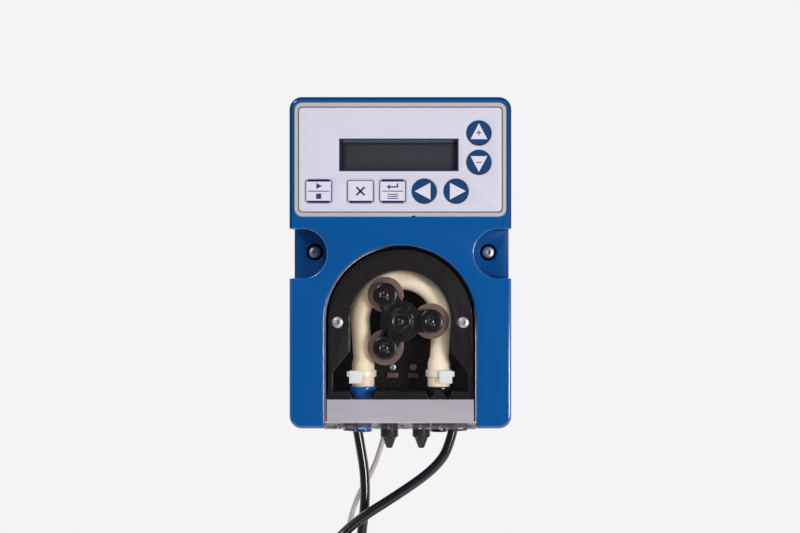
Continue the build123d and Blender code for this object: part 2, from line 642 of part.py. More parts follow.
def front_housing():
    """Moulded front with the keypad pocket, the pump bay and the two screw recesses."""
    outline = panel(BODY_WIDTH, BODY_HEIGHT, BODY_CORNER)
    body = slab(outline, GASKET_FRONT, FRONT_FACE)
    body = fillet(body.faces().sort_by(Axis.Y)[0].edges(), BODY_EDGE_ROUND)
    hollow = slab(
        panel(BODY_WIDTH - 2 * BODY_WALL, BODY_HEIGHT - 2 * BODY_WALL, BODY_CORNER - BODY_WALL),
        GASKET_FRONT,
        FRONT_FACE + FACE_THICKNESS,
    )
    hollow -= slab(arch(ARCH_RADIUS + BAY_WALL, BODY_BOTTOM), BAY_FLOOR_BACK, FRONT_FACE)
    for side in (-1, 1):
        hollow -= slab(recess_outline(side, RECESS_WALL), RECESS_FLOOR_BACK, FRONT_FACE)
        boss = disc(side * HOUSING_SCREW_X, HOUSING_SCREW_Z, BOSS_DIAMETER / 2)
        hollow -= slab(boss, GASKET_FRONT, RECESS_FLOOR)
    body -= hollow
    body -= slab(arch(ARCH_RADIUS, BODY_BOTTOM), BAY_FLOOR, FRONT_FACE)
    for side in (-1, 1):
        x = side * HOUSING_SCREW_X
        body -= slab(recess_outline(side, 0), RECESS_FLOOR, FRONT_FACE)
        sink = disc(x, HOUSING_SCREW_Z, COUNTERBORE_DIAMETER / 2)
        body -= slab(sink, RECESS_FLOOR + COUNTERBORE_DEPTH, RECESS_FLOOR)
        hole = disc(x, HOUSING_SCREW_Z, HOUSING_SCREW_SHANK / 2 + SHANK_CLEARANCE)
        body -= slab(hole, GASKET_FRONT, RECESS_FLOOR)
    pocket = panel(
        BEZEL_WIDTH + 2 * BEZEL_FIT, BEZEL_HEIGHT + 2 * BEZEL_FIT, BEZEL_CORNER, z=KEYPAD_Z
    )
    body -= slab(pocket, BEZEL_BACK, FRONT_FACE)
    body -= slab(keypad_opening(0), FRONT_FACE + FACE_THICKNESS, FRONT_FACE)
    body -= slab(disc(0, ARCH_Z, SEAL_DIAMETER / 2), BAY_FLOOR_BACK, BAY_FLOOR)
    return body


def housing_screws():
    """Two long screws that pull the front housing onto the rear one."""
    seat = RECESS_FLOOR + COUNTERBORE_DEPTH
    tip = GASKET_FRONT + BOSS_STOP_GAP + HOUSING_SCREW_BITE
    screws = []
    for x in both_sides(HOUSING_SCREW_X):
        head = screw_head(x, HOUSING_SCREW_Z, seat, HOUSING_SCREW_HEAD, HOUSING_SCREW_HEAD_HEIGHT)
        shank = slab(disc(x, HOUSING_SCREW_Z, HOUSING_SCREW_SHANK / 2), tip, seat)
        screws.append(head + shank)
    return screws


# ---------------------------------------------------------------- keypad and display


def keypad_opening(shrink):
    """The way through the bezel's ledge and the housing's face, for the boards."""
    return panel(
        PANEL_WIDTH - 2 * LEDGE_WIDTH - 2 * shrink,
        PANEL_HEIGHT - 2 * LEDGE_WIDTH - 2 * shrink,
        PANEL_CORNER,
        z=KEYPAD_Z,
    )


def keypad_bezel():
    """Frame around the keypad, with a small notch below to lift it out."""
    frame = slab(
        panel(BEZEL_WIDTH, BEZEL_HEIGHT, BEZEL_CORNER, z=KEYPAD_Z), BEZEL_BACK, BEZEL_FRONT
    )
    seat = panel(
        PANEL_WIDTH + 2 * PANEL_FIT, PANEL_HEIGHT + 2 * PANEL_FIT, PANEL_CORNER, z=KEYPAD_Z
    )
    frame -= slab(seat, PANEL_BACK, BEZEL_FRONT)
    frame -= slab(keypad_opening(0), BEZEL_BACK, BEZEL_FRONT)
    low = KEYPAD_Z - BEZEL_HEIGHT / 2
    notch = block(
        BEZEL_NOTCH_X - BEZEL_NOTCH_WIDTH / 2,
        BEZEL_NOTCH_X + BEZEL_NOTCH_WIDTH / 2,
        low,
        low + BEZEL_NOTCH_HEIGHT,
    )
    return frame - slab(notch, BEZEL_BACK, BEZEL_FRONT)


def key_outlines(grow):
    """{key name: its outline in (X, Z)}, each side grown by grow."""
    found = {
        name: disc(x, z, ROUND_KEY_DIAMETER / 2 + grow)
        for name, (x, z) in ROUND_KEYS.items()
    }
    size = (BAR_KEY_WIDTH + 2 * grow, BAR_KEY_HEIGHT + 2 * grow, BAR_KEY_CORNER + grow)
    for name, (x, z) in BAR_KEYS.items():
        found[name] = panel(*size, x, z)
    return found


def keypad_panel():
    """Face plate with the display's opening and one hole for each key."""
    plate = slab(
        panel(PANEL_WIDTH, PANEL_HEIGHT, PANEL_CORNER, z=KEYPAD_Z), PANEL_BACK, PANEL_FRONT
    )
    window = panel(WINDOW_WIDTH, WINDOW_HEIGHT, WINDOW_CORNER, WINDOW_X, WINDOW_Z)
    plate -= slab(window, PANEL_BACK, PANEL_FRONT)
    for hole in key_outlines(KEY_FIT).values():
        plate -= slab(hole, PANEL_BACK, PANEL_FRONT)
    return plate


def key_caps():
    """{key name: its cap, which slides in its hole in the face plate}."""
    outlines = key_outlines(0)
    return {name: slab(outline, KEY_BACK, KEY_FRONT) for name, outline in outlines.items()}


def key_domes():
    """A snap dome on the board under each key."""
    places = [*ROUND_KEYS.values(), *BAR_KEYS.values()]
    front = KEY_BOARD_FRONT - DOME_HEIGHT
    dome = RegularPolygon(DOME_RADIUS, DOME_SIDES)
    return [slab(Pos(x, z) * dome, KEY_BOARD_FRONT, front) for x, z in places]


def module_frame(grow):
    """The display's raised metal frame, in (X, Z)."""
    return panel(
        MODULE_FRAME_WIDTH + 2 * grow,
        MODULE_FRAME_HEIGHT + 2 * grow,
        WINDOW_CORNER + grow,
        WINDOW_X,
        WINDOW_Z,
    )


def key_board():
    """Circuit board behind the keys, cut out for the display."""
    board = slab(keypad_opening(KEY_BOARD_MARGIN), KEY_BOARD_BACK, KEY_BOARD_FRONT)
    return board - slab(module_frame(MODULE_FIT), KEY_BOARD_BACK, KEY_BOARD_FRONT)


def display_window():
    """Clear pane behind the opening of the face plate."""
    pane = panel(
        WINDOW_WIDTH + 2 * GLASS_MARGIN,
        WINDOW_HEIGHT + 2 * GLASS_MARGIN,
        WINDOW_CORNER,
        WINDOW_X,
        WINDOW_Z,
    )
    return slab(pane, GLASS_BACK, PANEL_BACK)


def display_module():
    """Two-line character display: a metal frame on its own board."""
    frame = slab(module_frame(0), MODULE_BACK, GLASS_BACK)
    board = block(
        WINDOW_X - MODULE_WIDTH / 2,
        WINDOW_X + MODULE_WIDTH / 2,
        WINDOW_Z - MODULE_HEIGHT / 2,
        WINDOW_Z + MODULE_HEIGHT / 2,
    )
    return frame + slab(board, MODULE_BACK + BOARD_THICKNESS, MODULE_BACK)


# ---------------------------------------------------------------- pump chamber


def chamber_outline():
    """The open chamber: the raceway above, flaring into a wide throat for the two fittings."""
    throat = Polyline(
        (-RACEWAY_RADIUS, ARCH_Z),
        (-RACEWAY_RADIUS, THROAT_TOP),
        (-THROAT_HALF_WIDTH, THROAT_FOOT),
        (-THROAT_HALF_WIDTH, LIP_TOP),
        (THROAT_HALF_WIDTH, LIP_TOP),
        (THROAT_HALF_WIDTH, THROAT_FOOT),
        (RACEWAY_RADIUS, THROAT_TOP),
        (RACEWAY_RADIUS, ARCH_Z),
        close=True,
    )
    return disc(0, ARCH_Z, RACEWAY_RADIUS) + make_face(throat)


def fitting_seat(x):
    """The tapered slot in the chamber's lip that a fitting slides into from the front."""
    gap = FITTING_SEAT_GAP
    wide = FITTING_COLLAR_RADIUS + gap
    narrow = FITTING_CONE_RADIUS + gap
    low = PUMP_BODY_BOTTOM
    cone = [(0, low), (narrow, low), (wide, FITTING_CONE_TOP), (wide, LIP_TOP), (0, LIP_TOP)]
    if LIP_TOP <= FITTING_CONE_TOP:
        cone = [(0, low), (narrow, low), (wide, FITTING_CONE_TOP), (0, FITTING_CONE_TOP)]
    side = [(x - r, z) for r, z in cone] + [(x + r, z) for r, z in reversed(cone)]
    points = [p for k, p in enumerate(side) if p not in side[:k]]
    slot = slab(make_face(Polyline(*points, close=True)), HOSE_Y, PUMP_BODY_FRONT)
    return turned(cone, x, HOSE_Y) + slot


def pump_body():
    """Black moulding with the curved wall that the hose is pressed against."""
    body = slab(arch(PUMP_BODY_RADIUS, PUMP_BODY_BOTTOM), BAY_FLOOR, PUMP_BODY_FRONT)
    body -= slab(chamber_outline(), CHAMBER_BACK, PUMP_BODY_FRONT)
    body -= slab(disc(0, ARCH_Z, SEAL_DIAMETER / 2), BAY_FLOOR, CHAMBER_BACK)
    for x in both_sides(FITTING_X):
        body -= fitting_seat(x)
    for x in both_sides(PUMP_SCREW_X):
        sink = disc(x, PUMP_SCREW_Z, PUMP_SCREW_HEAD / 2 + SHANK_CLEARANCE)
        body -= slab(sink, PUMP_BODY_FRONT + PUMP_SCREW_SINK, PUMP_BODY_FRONT)
    return body


def pump_body_screws():
    """Two screws that hold the black moulding in the bay."""
    seat = PUMP_BODY_FRONT + PUMP_SCREW_SINK
    sizes = (PUMP_SCREW_HEAD, PUMP_SCREW_HEAD_HEIGHT)
    return [screw_head(x, PUMP_SCREW_Z, seat, *sizes) for x in both_sides(PUMP_SCREW_X)]


def chamber_screw_places():
    """The X of the two small screws under the rotor."""
    half = CHAMBER_SCREW_SPACING / 2
    return (CHAMBER_SCREW_X - half, CHAMBER_SCREW_X + half)


def chamber_screws():
    """Two small screws in the floor of the chamber."""
    sizes = (CHAMBER_BACK, CHAMBER_SCREW_HEAD, CHAMBER_SCREW_HEAD_HEIGHT)
    return [screw_head(x, CHAMBER_SCREW_Z, *sizes) for x in chamber_screw_places()]


def chamber_pads():
    """Two contact pads on the chamber's floor, which notice a leaking hose."""
    pads = []
    for x in chamber_screw_places():
        outline = block(
            x - PAD_WIDTH / 2, x + PAD_WIDTH / 2, PAD_Z - PAD_HEIGHT / 2, PAD_Z + PAD_HEIGHT / 2
        )
        pads.append(slab(outline, CHAMBER_BACK, CHAMBER_BACK - PAD_THICKNESS))
    return pads


def hose_contact_angle():
    """Degrees below the level of the pump's axis at which the hose leaves the curved wall."""
    across, down = FITTING_X, ARCH_Z - HOSE_SWELL_TOP
    reach = math.hypot(across, down)
    return math.degrees(math.atan2(down, across) - math.acos(HOSE_PITCH / reach))


def hose_arc():
    """The hose's middle line along the curved wall, from the right leg over to the left one."""
    low = hose_contact_angle()
    line = Pos(0, ARCH_Z) * CenterArc((0, 0), HOSE_PITCH, -low, 180 + 2 * low)
    return Plane.XZ.offset(-HOSE_Y) * line


def flattened_hose(angle):
    """The stretch of hose that a roller at this angle squeezes flat against the curved wall."""
    outer = RACEWAY_RADIUS - HOSE_SEAT_GAP
    inner = outer - FLAT_HOSE_THICKNESS
    low, high = (math.radians(angle + s * FLAT_HOSE_SPREAD) for s in (-1, 1))
    reach = 2 * RACEWAY_RADIUS
    wedge = Polyline(
        (0, 0),
        (reach * math.cos(low), reach * math.sin(low)),
        (reach * math.cos(high), reach * math.sin(high)),
        close=True,
    )
    band = Pos(0, ARCH_Z) * ((Circle(outer) - Circle(inner)) & make_face(wedge))
    return slab(band, HOSE_Y + FLAT_HOSE_WIDTH / 2, HOSE_Y - FLAT_HOSE_WIDTH / 2)


def hose_leg(x, path_end):
    """One leg: swollen over the fitting's barbs, then up to where it meets the curved wall."""
    swollen = HOSE_BARB_DIAMETER / 2
    lower = [
        (0, HOSE_END_Z),
        (swollen, HOSE_END_Z),
        (swollen, HOSE_SWELL_TOP),
        (HOSE_RADIUS, HOSE_SWELL_TOP + HOSE_SWELL_TAPER),
        (0, HOSE_SWELL_TOP + HOSE_SWELL_TAPER),
    ]
    start = Vector(x, HOSE_Y, HOSE_SWELL_TOP)
    way = path_end - start
    upper = extrude(Plane(start, z_dir=way) * Circle(HOSE_RADIUS), amount=way.length)
    bore = Pos(x, HOSE_Y, HOSE_END_Z) * Cylinder(
        BARB_RADIUS,
        HOSE_SWELL_TOP - HOSE_END_Z,
        align=(Align.CENTER, Align.CENTER, Align.MIN),
    )
    return turned(lower, x, HOSE_Y) + upper - bore


def pump_hose():
    """Soft hose over the rollers, squeezed flat where a roller presses on it."""
    line = hose_arc()
    hose = sweep(Plane(line @ 0, z_dir=line % 0) * Circle(HOSE_RADIUS), path=line)
    hose += hose_leg(FITTING_X, line @ 0)
    hose += hose_leg(-FITTING_X, line @ 1)
    for k, (x, z) in enumerate(roller_places()):
        angle = 360 / ROLLER_COUNT * k
        if angle <= 180:
            hose += flattened_hose(angle)
        press = disc(x, z, ROLLER_RADIUS + ROLLER_TOUCH_GAP)
        hose -= slab(press, HOSE_Y + ROLLER_LENGTH / 2, HOSE_Y - ROLLER_LENGTH / 2)
    return hose


def fitting(x):
    """A hose fitting: barbs above, a tapered collar in the lip and a nozzle below."""
    barb_step = (HOSE_SWELL_TOP - HOSE_END_Z) / BARB_COUNT
    profile = [
        (FITTING_BORE_RADIUS, FITTING_RING_TOP - FITTING_RING_HEIGHT),
        (FITTING_RING_RADIUS, FITTING_RING_TOP - FITTING_RING_HEIGHT),
        (FITTING_RING_RADIUS, FITTING_RING_TOP),
        (FITTING_NECK_RADIUS, FITTING_RING_TOP),
        (FITTING_NECK_RADIUS, PUMP_BODY_BOTTOM),
        (FITTING_CONE_RADIUS, PUMP_BODY_BOTTOM),
        (FITTING_COLLAR_RADIUS, FITTING_CONE_TOP),
        (FITTING_COLLAR_RADIUS, HOSE_END_Z),
    ]
    for k in range(BARB_COUNT):
        profile.append((BARB_RADIUS, HOSE_END_Z + k * barb_step))
        profile.append((BARB_ROOT_RADIUS, HOSE_END_Z + (k + 1) * barb_step))
    profile.append((FITTING_BORE_RADIUS, HOSE_SWELL_TOP))
    return turned(profile, x, HOSE_Y)


def hose_ties():
    """A cable tie with its head to the outside round the foot of each leg."""
    ties = []
    inner = HOSE_BARB_DIAMETER / 2
    for x in both_sides(FITTING_X):
        band = Pos(x, HOSE_Y) * (Circle(inner + TIE_THICKNESS) - Circle(inner))
        tie = column(band, TIE_TOP - TIE_WIDTH, TIE_TOP)
        head_x = x + math.copysign(inner - TIE_HEAD_WIDTH / 2 + TIE_THICKNESS, x)
        head_y = HOSE_Y - inner - TIE_THICKNESS / 2
        head = Pos(head_x, head_y) * Rectangle(TIE_HEAD_WIDTH, TIE_HEAD_DEPTH)
        head -= Pos(x, HOSE_Y) * Circle(inner)
        ties.append(tie + column(head, TIE_TOP - TIE_HEAD_HEIGHT, TIE_TOP))
    return ties


def clear_cover():
    """Clear front of the pump chamber, with a deep foot notched for the two fittings."""
    cover = slab(arch(COVER_RADIUS, COVER_BOTTOM), COVER_BACK, COVER_FRONT)
    rim_back = COVER_BACK + COVER_RIM_DEPTH
    rim = arch(COVER_RADIUS, COVER_BOTTOM) - arch(COVER_RADIUS - COVER_RIM, COVER_BOTTOM)
    cover += slab(rim, rim_back, COVER_BACK)
    foot = block(-COVER_RADIUS, COVER_RADIUS, COVER_BOTTOM, COVER_FOOT_TOP)
    foot_back = COVER_BACK + COVER_FOOT_DEPTH
    cover += slab(foot, foot_back, COVER_BACK)
    for x in both_sides(FITTING_X):
        half = COVER_SLOT_WIDTH / 2
        slot = block(x - half, x + half, COVER_BOTTOM, COVER_FOOT_TOP)
        cover -= slab(slot, foot_back, HOSE_Y - half)
    return cover


# ---------------------------------------------------------------- rotor


def arm_outline(web_radius):
    """Three arms with round caps, joined in the middle by a disc."""
    outline = disc(0, ARCH_Z, web_radius)
    arm = Pos(ROLLER_PITCH / 2, 0) * Rectangle(ROLLER_PITCH, ARM_WIDTH)
    for k in range(ROLLER_COUNT):
        outline += Pos(0, ARCH_Z) * Rot(0, 0, 360 / ROLLER_COUNT * k) * arm
    for x, z in roller_places():
        outline += disc(x, z, ARM_CAP_RADIUS)
    return outline


def shaft_outline(grow):
    """The drive shaft's round section with its flat on top."""
    radius = SHAFT_DIAMETER / 2 + grow
    flat = SHAFT_DIAMETER / 2 - SHAFT_FLAT + grow
    cut = block(-radius, radius, ARCH_Z + flat, ARCH_Z + SHAFT_DIAMETER)
    return disc(0, ARCH_Z, radius) - cut


def rotor_front():
    """Front arms with a shallow pocket in each."""
    arms = slab(arm_outline(ARM_WEB_RADIUS), FRONT_ARM_BACK, FRONT_ARM_FRONT)
    pocket = Pos(ARM_POCKET_START + ARM_POCKET_LENGTH / 2, 0) * Rectangle(
        ARM_POCKET_LENGTH, ARM_POCKET_WIDTH
    )
    for k in range(ROLLER_COUNT):
        turn = Pos(0, ARCH_Z) * Rot(0, 0, 360 / ROLLER_COUNT * k) * pocket
        arms -= slab(turn, FRONT_ARM_FRONT + ARM_POCKET_DEPTH, FRONT_ARM_FRONT)
    return arms


def rotor_back():
    """Rear arms with the hub that slides onto the shaft."""
    arms = slab(arm_outline(HUB_RADIUS), BACK_ARM_BACK, BACK_ARM_FRONT)
    arms += slab(disc(0, ARCH_Z, HUB_RADIUS), BACK_ARM_FRONT, FRONT_ARM_BACK)
    return arms - slab(shaft_outline(SHAFT_FIT), BACK_ARM_BACK, FRONT_ARM_BACK)


def roller_pins():
    """Three steel pins clamped between the front and the rear arms."""
    pins = [disc(x, z, PIN_DIAMETER / 2) for x, z in roller_places()]
    return [slab(pin, BACK_ARM_FRONT, FRONT_ARM_BACK) for pin in pins]


def rotor_screws():
    """The head of the screw into each pin, and of the one into the end of the shaft."""
    places = [*roller_places(), (0, ARCH_Z)]
    sizes = (FRONT_ARM_FRONT, ROTOR_SCREW_HEAD, ROTOR_SCREW_HEAD_HEIGHT)
    return [screw_head(x, z, *sizes) for x, z in places]


def roller(x, z):
    """A roller with a guide flange at each end, free on its pin."""
    body = slab(disc(x, z, ROLLER_RADIUS), ROLLER_BACK, ROLLER_FRONT)
    flange = disc(x, z, ROLLER_FLANGE_RADIUS)
    body += slab(flange, ROLLER_BACK, ROLLER_BACK - ROLLER_FLANGE_THICKNESS)
    body += slab(flange, ROLLER_FRONT + ROLLER_FLANGE_THICKNESS, ROLLER_FRONT)
    bore = disc(x, z, PIN_DIAMETER / 2 + PIN_RUNNING_GAP)
    return body - slab(bore, ROLLER_BACK, ROLLER_FRONT)


def output_shaft():
    """Shaft that carries the rotor in front and the output gear behind."""
    round_part = slab(disc(0, ARCH_Z, SHAFT_DIAMETER / 2), OUTPUT_GEAR_BACK, BACK_ARM_BACK)
    return round_part + slab(shaft_outline(0), BACK_ARM_BACK, FRONT_ARM_BACK)


# ---------------------------------------------------------------- gears and motor


def involute(angle):
    """The involute function, in radians."""
    return math.tan(angle) - angle


def gear_outline(teeth, z, first):
    """A spur gear at (0, z) whose flanks follow the involute, with a tooth at first degrees."""
    pitch = MODULE * teeth / 2
    pressure = math.radians(PRESSURE_ANGLE)
    base = pitch * math.cos(pressure)
    at_pitch = (math.pi / 2 - BACKLASH / MODULE) / teeth + involute(pressure)
    root = pitch - DEDENDUM * MODULE
    tip = pitch + ADDENDUM * MODULE
    corners = []
    for radius in (root, tip):
        half = at_pitch - involute(math.acos(min(1.0, base / radius)))
        corners.append((radius, half))
    tooth = [(r, -half) for r, half in corners] + [(r, half) for r, half in reversed(corners)]
    points = []
    for k in range(teeth):
        middle = math.radians(first + 360 / teeth * k)
        points += [(r * math.cos(middle + a), r * math.sin(middle + a)) for r, a in tooth]
    return Pos(0, z) * make_face(Polyline(*points, close=True))


def output_gear():
    """Large gear on the pump's shaft."""
    wheel = gear_outline(OUTPUT_TEETH, ARCH_Z, 90)
    wheel -= disc(0, ARCH_Z, SHAFT_DIAMETER / 2)
    return slab(wheel, OUTPUT_GEAR_BACK, OUTPUT_GEAR_FRONT)


def idler_gear():
    """Double gear between the motor's pinion and the output gear."""
    gap = 180 / IDLER_SMALL_TEETH
    small = gear_outline(IDLER_SMALL_TEETH, IDLER_Z, -90 + gap)
    large = gear_outline(IDLER_LARGE_TEETH, IDLER_Z, 90)
    both = slab(small, IDLER_LARGE_FRONT, OUTPUT_GEAR_FRONT)
    both += slab(large, IDLER_LARGE_BACK, IDLER_LARGE_FRONT)
    bore = disc(0, IDLER_Z, IDLER_AXLE_DIAMETER / 2 + SHAFT_RUNNING_GAP)
    return both - slab(bore, IDLER_LARGE_BACK, OUTPUT_GEAR_FRONT)


def motor_pinion():
    """The motor's shaft with its pinion."""
    gap = 180 / PINION_TEETH
    back = IDLER_LARGE_FRONT + PINION_WIDTH
    teeth = slab(gear_outline(PINION_TEETH, MOTOR_Z, -90 + gap), back, IDLER_LARGE_FRONT)
    end = COVER_PLATE_BACK + MOTOR_SHAFT_DEPTH
    return teeth + slab(disc(0, MOTOR_Z, MOTOR_SHAFT_DIAMETER / 2), end, back)


def idler_axle():
    """Fixed axle between the gearbox's walls."""
    end = CASE_BACK + CASE_COVER_THICKNESS / 2
    start = BAY_FLOOR_BACK + CASE_FRONT_WALL / 2
    return slab(disc(0, IDLER_Z, IDLER_AXLE_DIAMETER / 2), end, start)


def case_outline(shrink):
    """The gearbox's outline in (X, Z)."""
    width = CASE_WIDTH - 2 * shrink
    height = CASE_TOP - CASE_BOTTOM - 2 * shrink
    return panel(width, height, CASE_CORNER, z=(CASE_TOP + CASE_BOTTOM) / 2)


def case_posts():
    """The (X, Z) of the gearbox's four corner posts."""
    inset = CASE_POST_SIZE / 2
    heights = (CASE_BOTTOM + inset, CASE_TOP - inset)
    return [(x, z) for x in both_sides(CASE_WIDTH / 2 - inset) for z in heights]


def gearbox_case():
    """Open box behind the pump bay that carries the gears."""
    case = slab(case_outline(0), CASE_BACK, BAY_FLOOR_BACK)
    inside = slab(case_outline(CASE_WALL), CASE_BACK, CASE_INSIDE)
    for x, z in case_posts():
        post = Pos(x, z) * Rectangle(CASE_POST_SIZE, CASE_POST_SIZE)
        inside -= slab(post, CASE_BACK, CASE_INSIDE)
    case -= inside
    case -= slab(disc(0, ARCH_Z, BUSH_DIAMETER / 2), CASE_INSIDE, BAY_FLOOR_BACK)
    axle = disc(0, IDLER_Z, IDLER_AXLE_DIAMETER / 2)
    return case - slab(axle, CASE_INSIDE, BAY_FLOOR_BACK + CASE_FRONT_WALL / 2)


def gearbox_cover():
    """Rear plate of the gearbox, which the motor is fixed to."""
    plate = slab(case_outline(0), COVER_PLATE_BACK, CASE_BACK)
    axle = disc(0, IDLER_Z, IDLER_AXLE_DIAMETER / 2)
    plate -= slab(axle, CASE_BACK + CASE_COVER_THICKNESS / 2, CASE_BACK)
    return plate - slab(disc(0, MOTOR_Z, MOTOR_BOSS_DIAMETER / 2), COVER_PLATE_BACK, CASE_BACK)


def gearbox_screws():
    """The hexagon heads of the four screws that hold the gearbox from behind."""
    head = RegularPolygon(CASE_SCREW_HEAD / 2, 6)
    back = COVER_PLATE_BACK + CASE_SCREW_HEAD_HEIGHT
    return [slab(Pos(x, z) * head, back, COVER_PLATE_BACK) for x, z in case_posts()]


def output_bush():
    """Bearing bush of the pump's shaft in the gearbox."""
    bush = slab(disc(0, ARCH_Z, BUSH_DIAMETER / 2), CASE_INSIDE, BAY_FLOOR_BACK)
    bore = disc(0, ARCH_Z, SHAFT_DIAMETER / 2 + SHAFT_RUNNING_GAP)
    return bush - slab(bore, CASE_INSIDE, BAY_FLOOR_BACK)


def shaft_seal():
    """Lip seal round the shaft in the bay's floor."""
    seal = slab(disc(0, ARCH_Z, SEAL_DIAMETER / 2), BAY_FLOOR_BACK, CHAMBER_BACK)
    bore = disc(0, ARCH_Z, SHAFT_DIAMETER / 2 + SHAFT_RUNNING_GAP)
    return seal - slab(bore, BAY_FLOOR_BACK, CHAMBER_BACK)


def motor_case():
    """Square stepper motor with a round boss in the gearbox cover."""
    outline = panel(MOTOR_SIZE, MOTOR_SIZE, MOTOR_CORNER, z=MOTOR_Z)
    motor = slab(outline, MOTOR_BACK, COVER_PLATE_BACK)
    motor += slab(disc(0, MOTOR_Z, MOTOR_BOSS_DIAMETER / 2), COVER_PLATE_BACK, CASE_BACK)
    bore = disc(0, MOTOR_Z, MOTOR_SHAFT_DIAMETER / 2 + SHAFT_RUNNING_GAP)
    return motor - slab(bore, COVER_PLATE_BACK + MOTOR_SHAFT_DEPTH, CASE_BACK)


# ---------------------------------------------------------------- electrics


def main_board():
    """Main circuit board on four posts at the back of the rear housing."""
    outline = Rectangle(MAIN_BOARD_WIDTH, MAIN_BOARD_HEIGHT)
    return slab(outline, MAIN_BOARD_BACK, MAIN_BOARD_FRONT)


def board_screws():
    """The hexagon heads of the four screws that hold the main board."""
    head = RegularPolygon(BOARD_SCREW_HEAD / 2, 6)
    front = MAIN_BOARD_FRONT - BOARD_SCREW_HEAD_HEIGHT
    return [
        slab(Pos(x, z) * head, MAIN_BOARD_FRONT, front)
        for x in both_sides(BOARD_POST_X)
        for z in both_sides(BOARD_POST_Z)
    ]


def transformer():
    """Mains transformer on the main board."""
    outline = block(
        -TRANSFORMER_WIDTH / 2,
        TRANSFORMER_WIDTH / 2,
        TRANSFORMER_Z - TRANSFORMER_HEIGHT / 2,
        TRANSFORMER_Z + TRANSFORMER_HEIGHT / 2,
    )
    return slab(outline, MAIN_BOARD_FRONT, MAIN_BOARD_FRONT - TRANSFORMER_DEPTH)


def terminal_block():
    """Row of screw terminals at the foot of the main board."""
    half = TERMINAL_COUNT * TERMINAL_PITCH / 2
    low = TERMINAL_Z - TERMINAL_HEIGHT / 2
    front = MAIN_BOARD_FRONT - TERMINAL_DEPTH
    strip = slab(block(-half, half, low, low + TERMINAL_HEIGHT), MAIN_BOARD_FRONT, front)
    for k in range(TERMINAL_COUNT):
        x = -half + (k + 1 / 2) * TERMINAL_PITCH
        hole = Pos(x, TERMINAL_Z) * Rectangle(TERMINAL_HOLE_SIZE, TERMINAL_HOLE_SIZE)
        strip -= slab(hole, front + TERMINAL_HOLE_DEPTH, front)
    return strip


# ---------------------------------------------------------------- cable entries and leads


def gland(x):
    """Cable gland: a hexagon against the housing, a domed nut below and a nut inside."""
    inner = GLAND_HOLE_DIAMETER / 2 - GLAND_BODY_FIT
    inside = REAR_BOTTOM + BODY_WALL
    dome = GLAND_DOME_DIAMETER / 2
    end = REAR_BOTTOM - GLAND_LENGTH
    profile = [
        (0, end),
        (GLAND_LIP_RADIUS, end),
        (dome, end + dome - GLAND_LIP_RADIUS),
        (dome, REAR_BOTTOM - GLAND_HEX_HEIGHT),
        (inner, REAR_BOTTOM - GLAND_HEX_HEIGHT),
        (inner, inside),
        (0, inside),
    ]
    hexagon = Pos(x, GLAND_Y) * RegularPolygon(GLAND_HEX_WIDTH / 2, 6, major_radius=False)
    body = turned(profile, x, GLAND_Y)
    body += column(hexagon, REAR_BOTTOM - GLAND_HEX_HEIGHT, REAR_BOTTOM)
    return body + column(hexagon, inside, inside + GLAND_NUT_HEIGHT)


def blind_grommets():
    """Two unused entries closed by stepped rubber cones."""
    step = REAR_BOTTOM - GROMMET_BODY_END
    profile = [
        (0, REAR_BOTTOM - GROMMET_LENGTH),
        (GROMMET_TIP_DIAMETER / 2, REAR_BOTTOM - GROMMET_LENGTH),
        (GROMMET_STEP_DIAMETER / 2, step),
        (GROMMET_BODY_DIAMETER / 2, step),
        (GROMMET_BODY_DIAMETER / 2, REAR_BOTTOM - GROMMET_COLLAR_HEIGHT),
        (GROMMET_COLLAR_DIAMETER / 2, REAR_BOTTOM),
        (0, REAR_BOTTOM),
    ]
    return [turned(profile, gland_x(place), GLAND_Y) for place in (-1, 1)]


def probe_gland():
    """Small push-in grommet for the probe's lead."""
    end = REAR_BOTTOM - PROBE_GLAND_LENGTH
    profile = [
        (0, end),
        (PROBE_LEAD_DIAMETER, end),
        (PROBE_GLAND_DIAMETER / 2, REAR_BOTTOM),
        (0, REAR_BOTTOM),
    ]
    return turned(profile, PROBE_GLAND_X, PROBE_GLAND_Y)


def bend_radii(route):
    """The largest tangent arc that each corner of a route has room for."""
    radii = []
    for before, corner, after in zip(route, route[1:], route[2:]):
        first, second = Vector(*corner) - Vector(*before), Vector(*after) - Vector(*corner)
        half_turn = math.radians(first.get_angle(second)) / 2
        radii.append(BEND_SHARE * min(first.length, second.length) / math.tan(half_turn))
    return radii


def lead(name, start, route, coil, coil_radius, layers, diameter):
    """A lead from its gland to the side of its coil."""
    outer = coil_radius + layers * diameter / 2
    rise = math.sqrt(outer**2 - coil_radius**2) - diameter / 2
    x, y, z = coil
    points = [start, *route, (x - coil_radius, y, z + rise)]
    radii = bend_radii(points)
    line = FilletPolyline(*points, radius=radii)
    tube = sweep(Plane(line @ 0, z_dir=line % 0) * Circle(diameter / 2), path=line)
    expected = math.pi * diameter**2 / 4 * line.length
    rounded = [round(r) for r in radii]
    print(f"{name}: {line.length:.0f} mm, bends {rounded}, volume {tube.volume / expected:.4f}")
    return tube


def lead_coil(coil, radius, layers, diameter, columns):
    """The outer shape of a tied coil that hangs with its face to the wall."""
    x, y, z = coil
    half = layers * diameter / 2
    ring = RegularPolygon(radius + half, COIL_SIDES) - RegularPolygon(radius - half, COIL_SIDES)
    depth = columns * diameter / 2
    return slab(Pos(x, z) * ring, y + depth, y - depth)


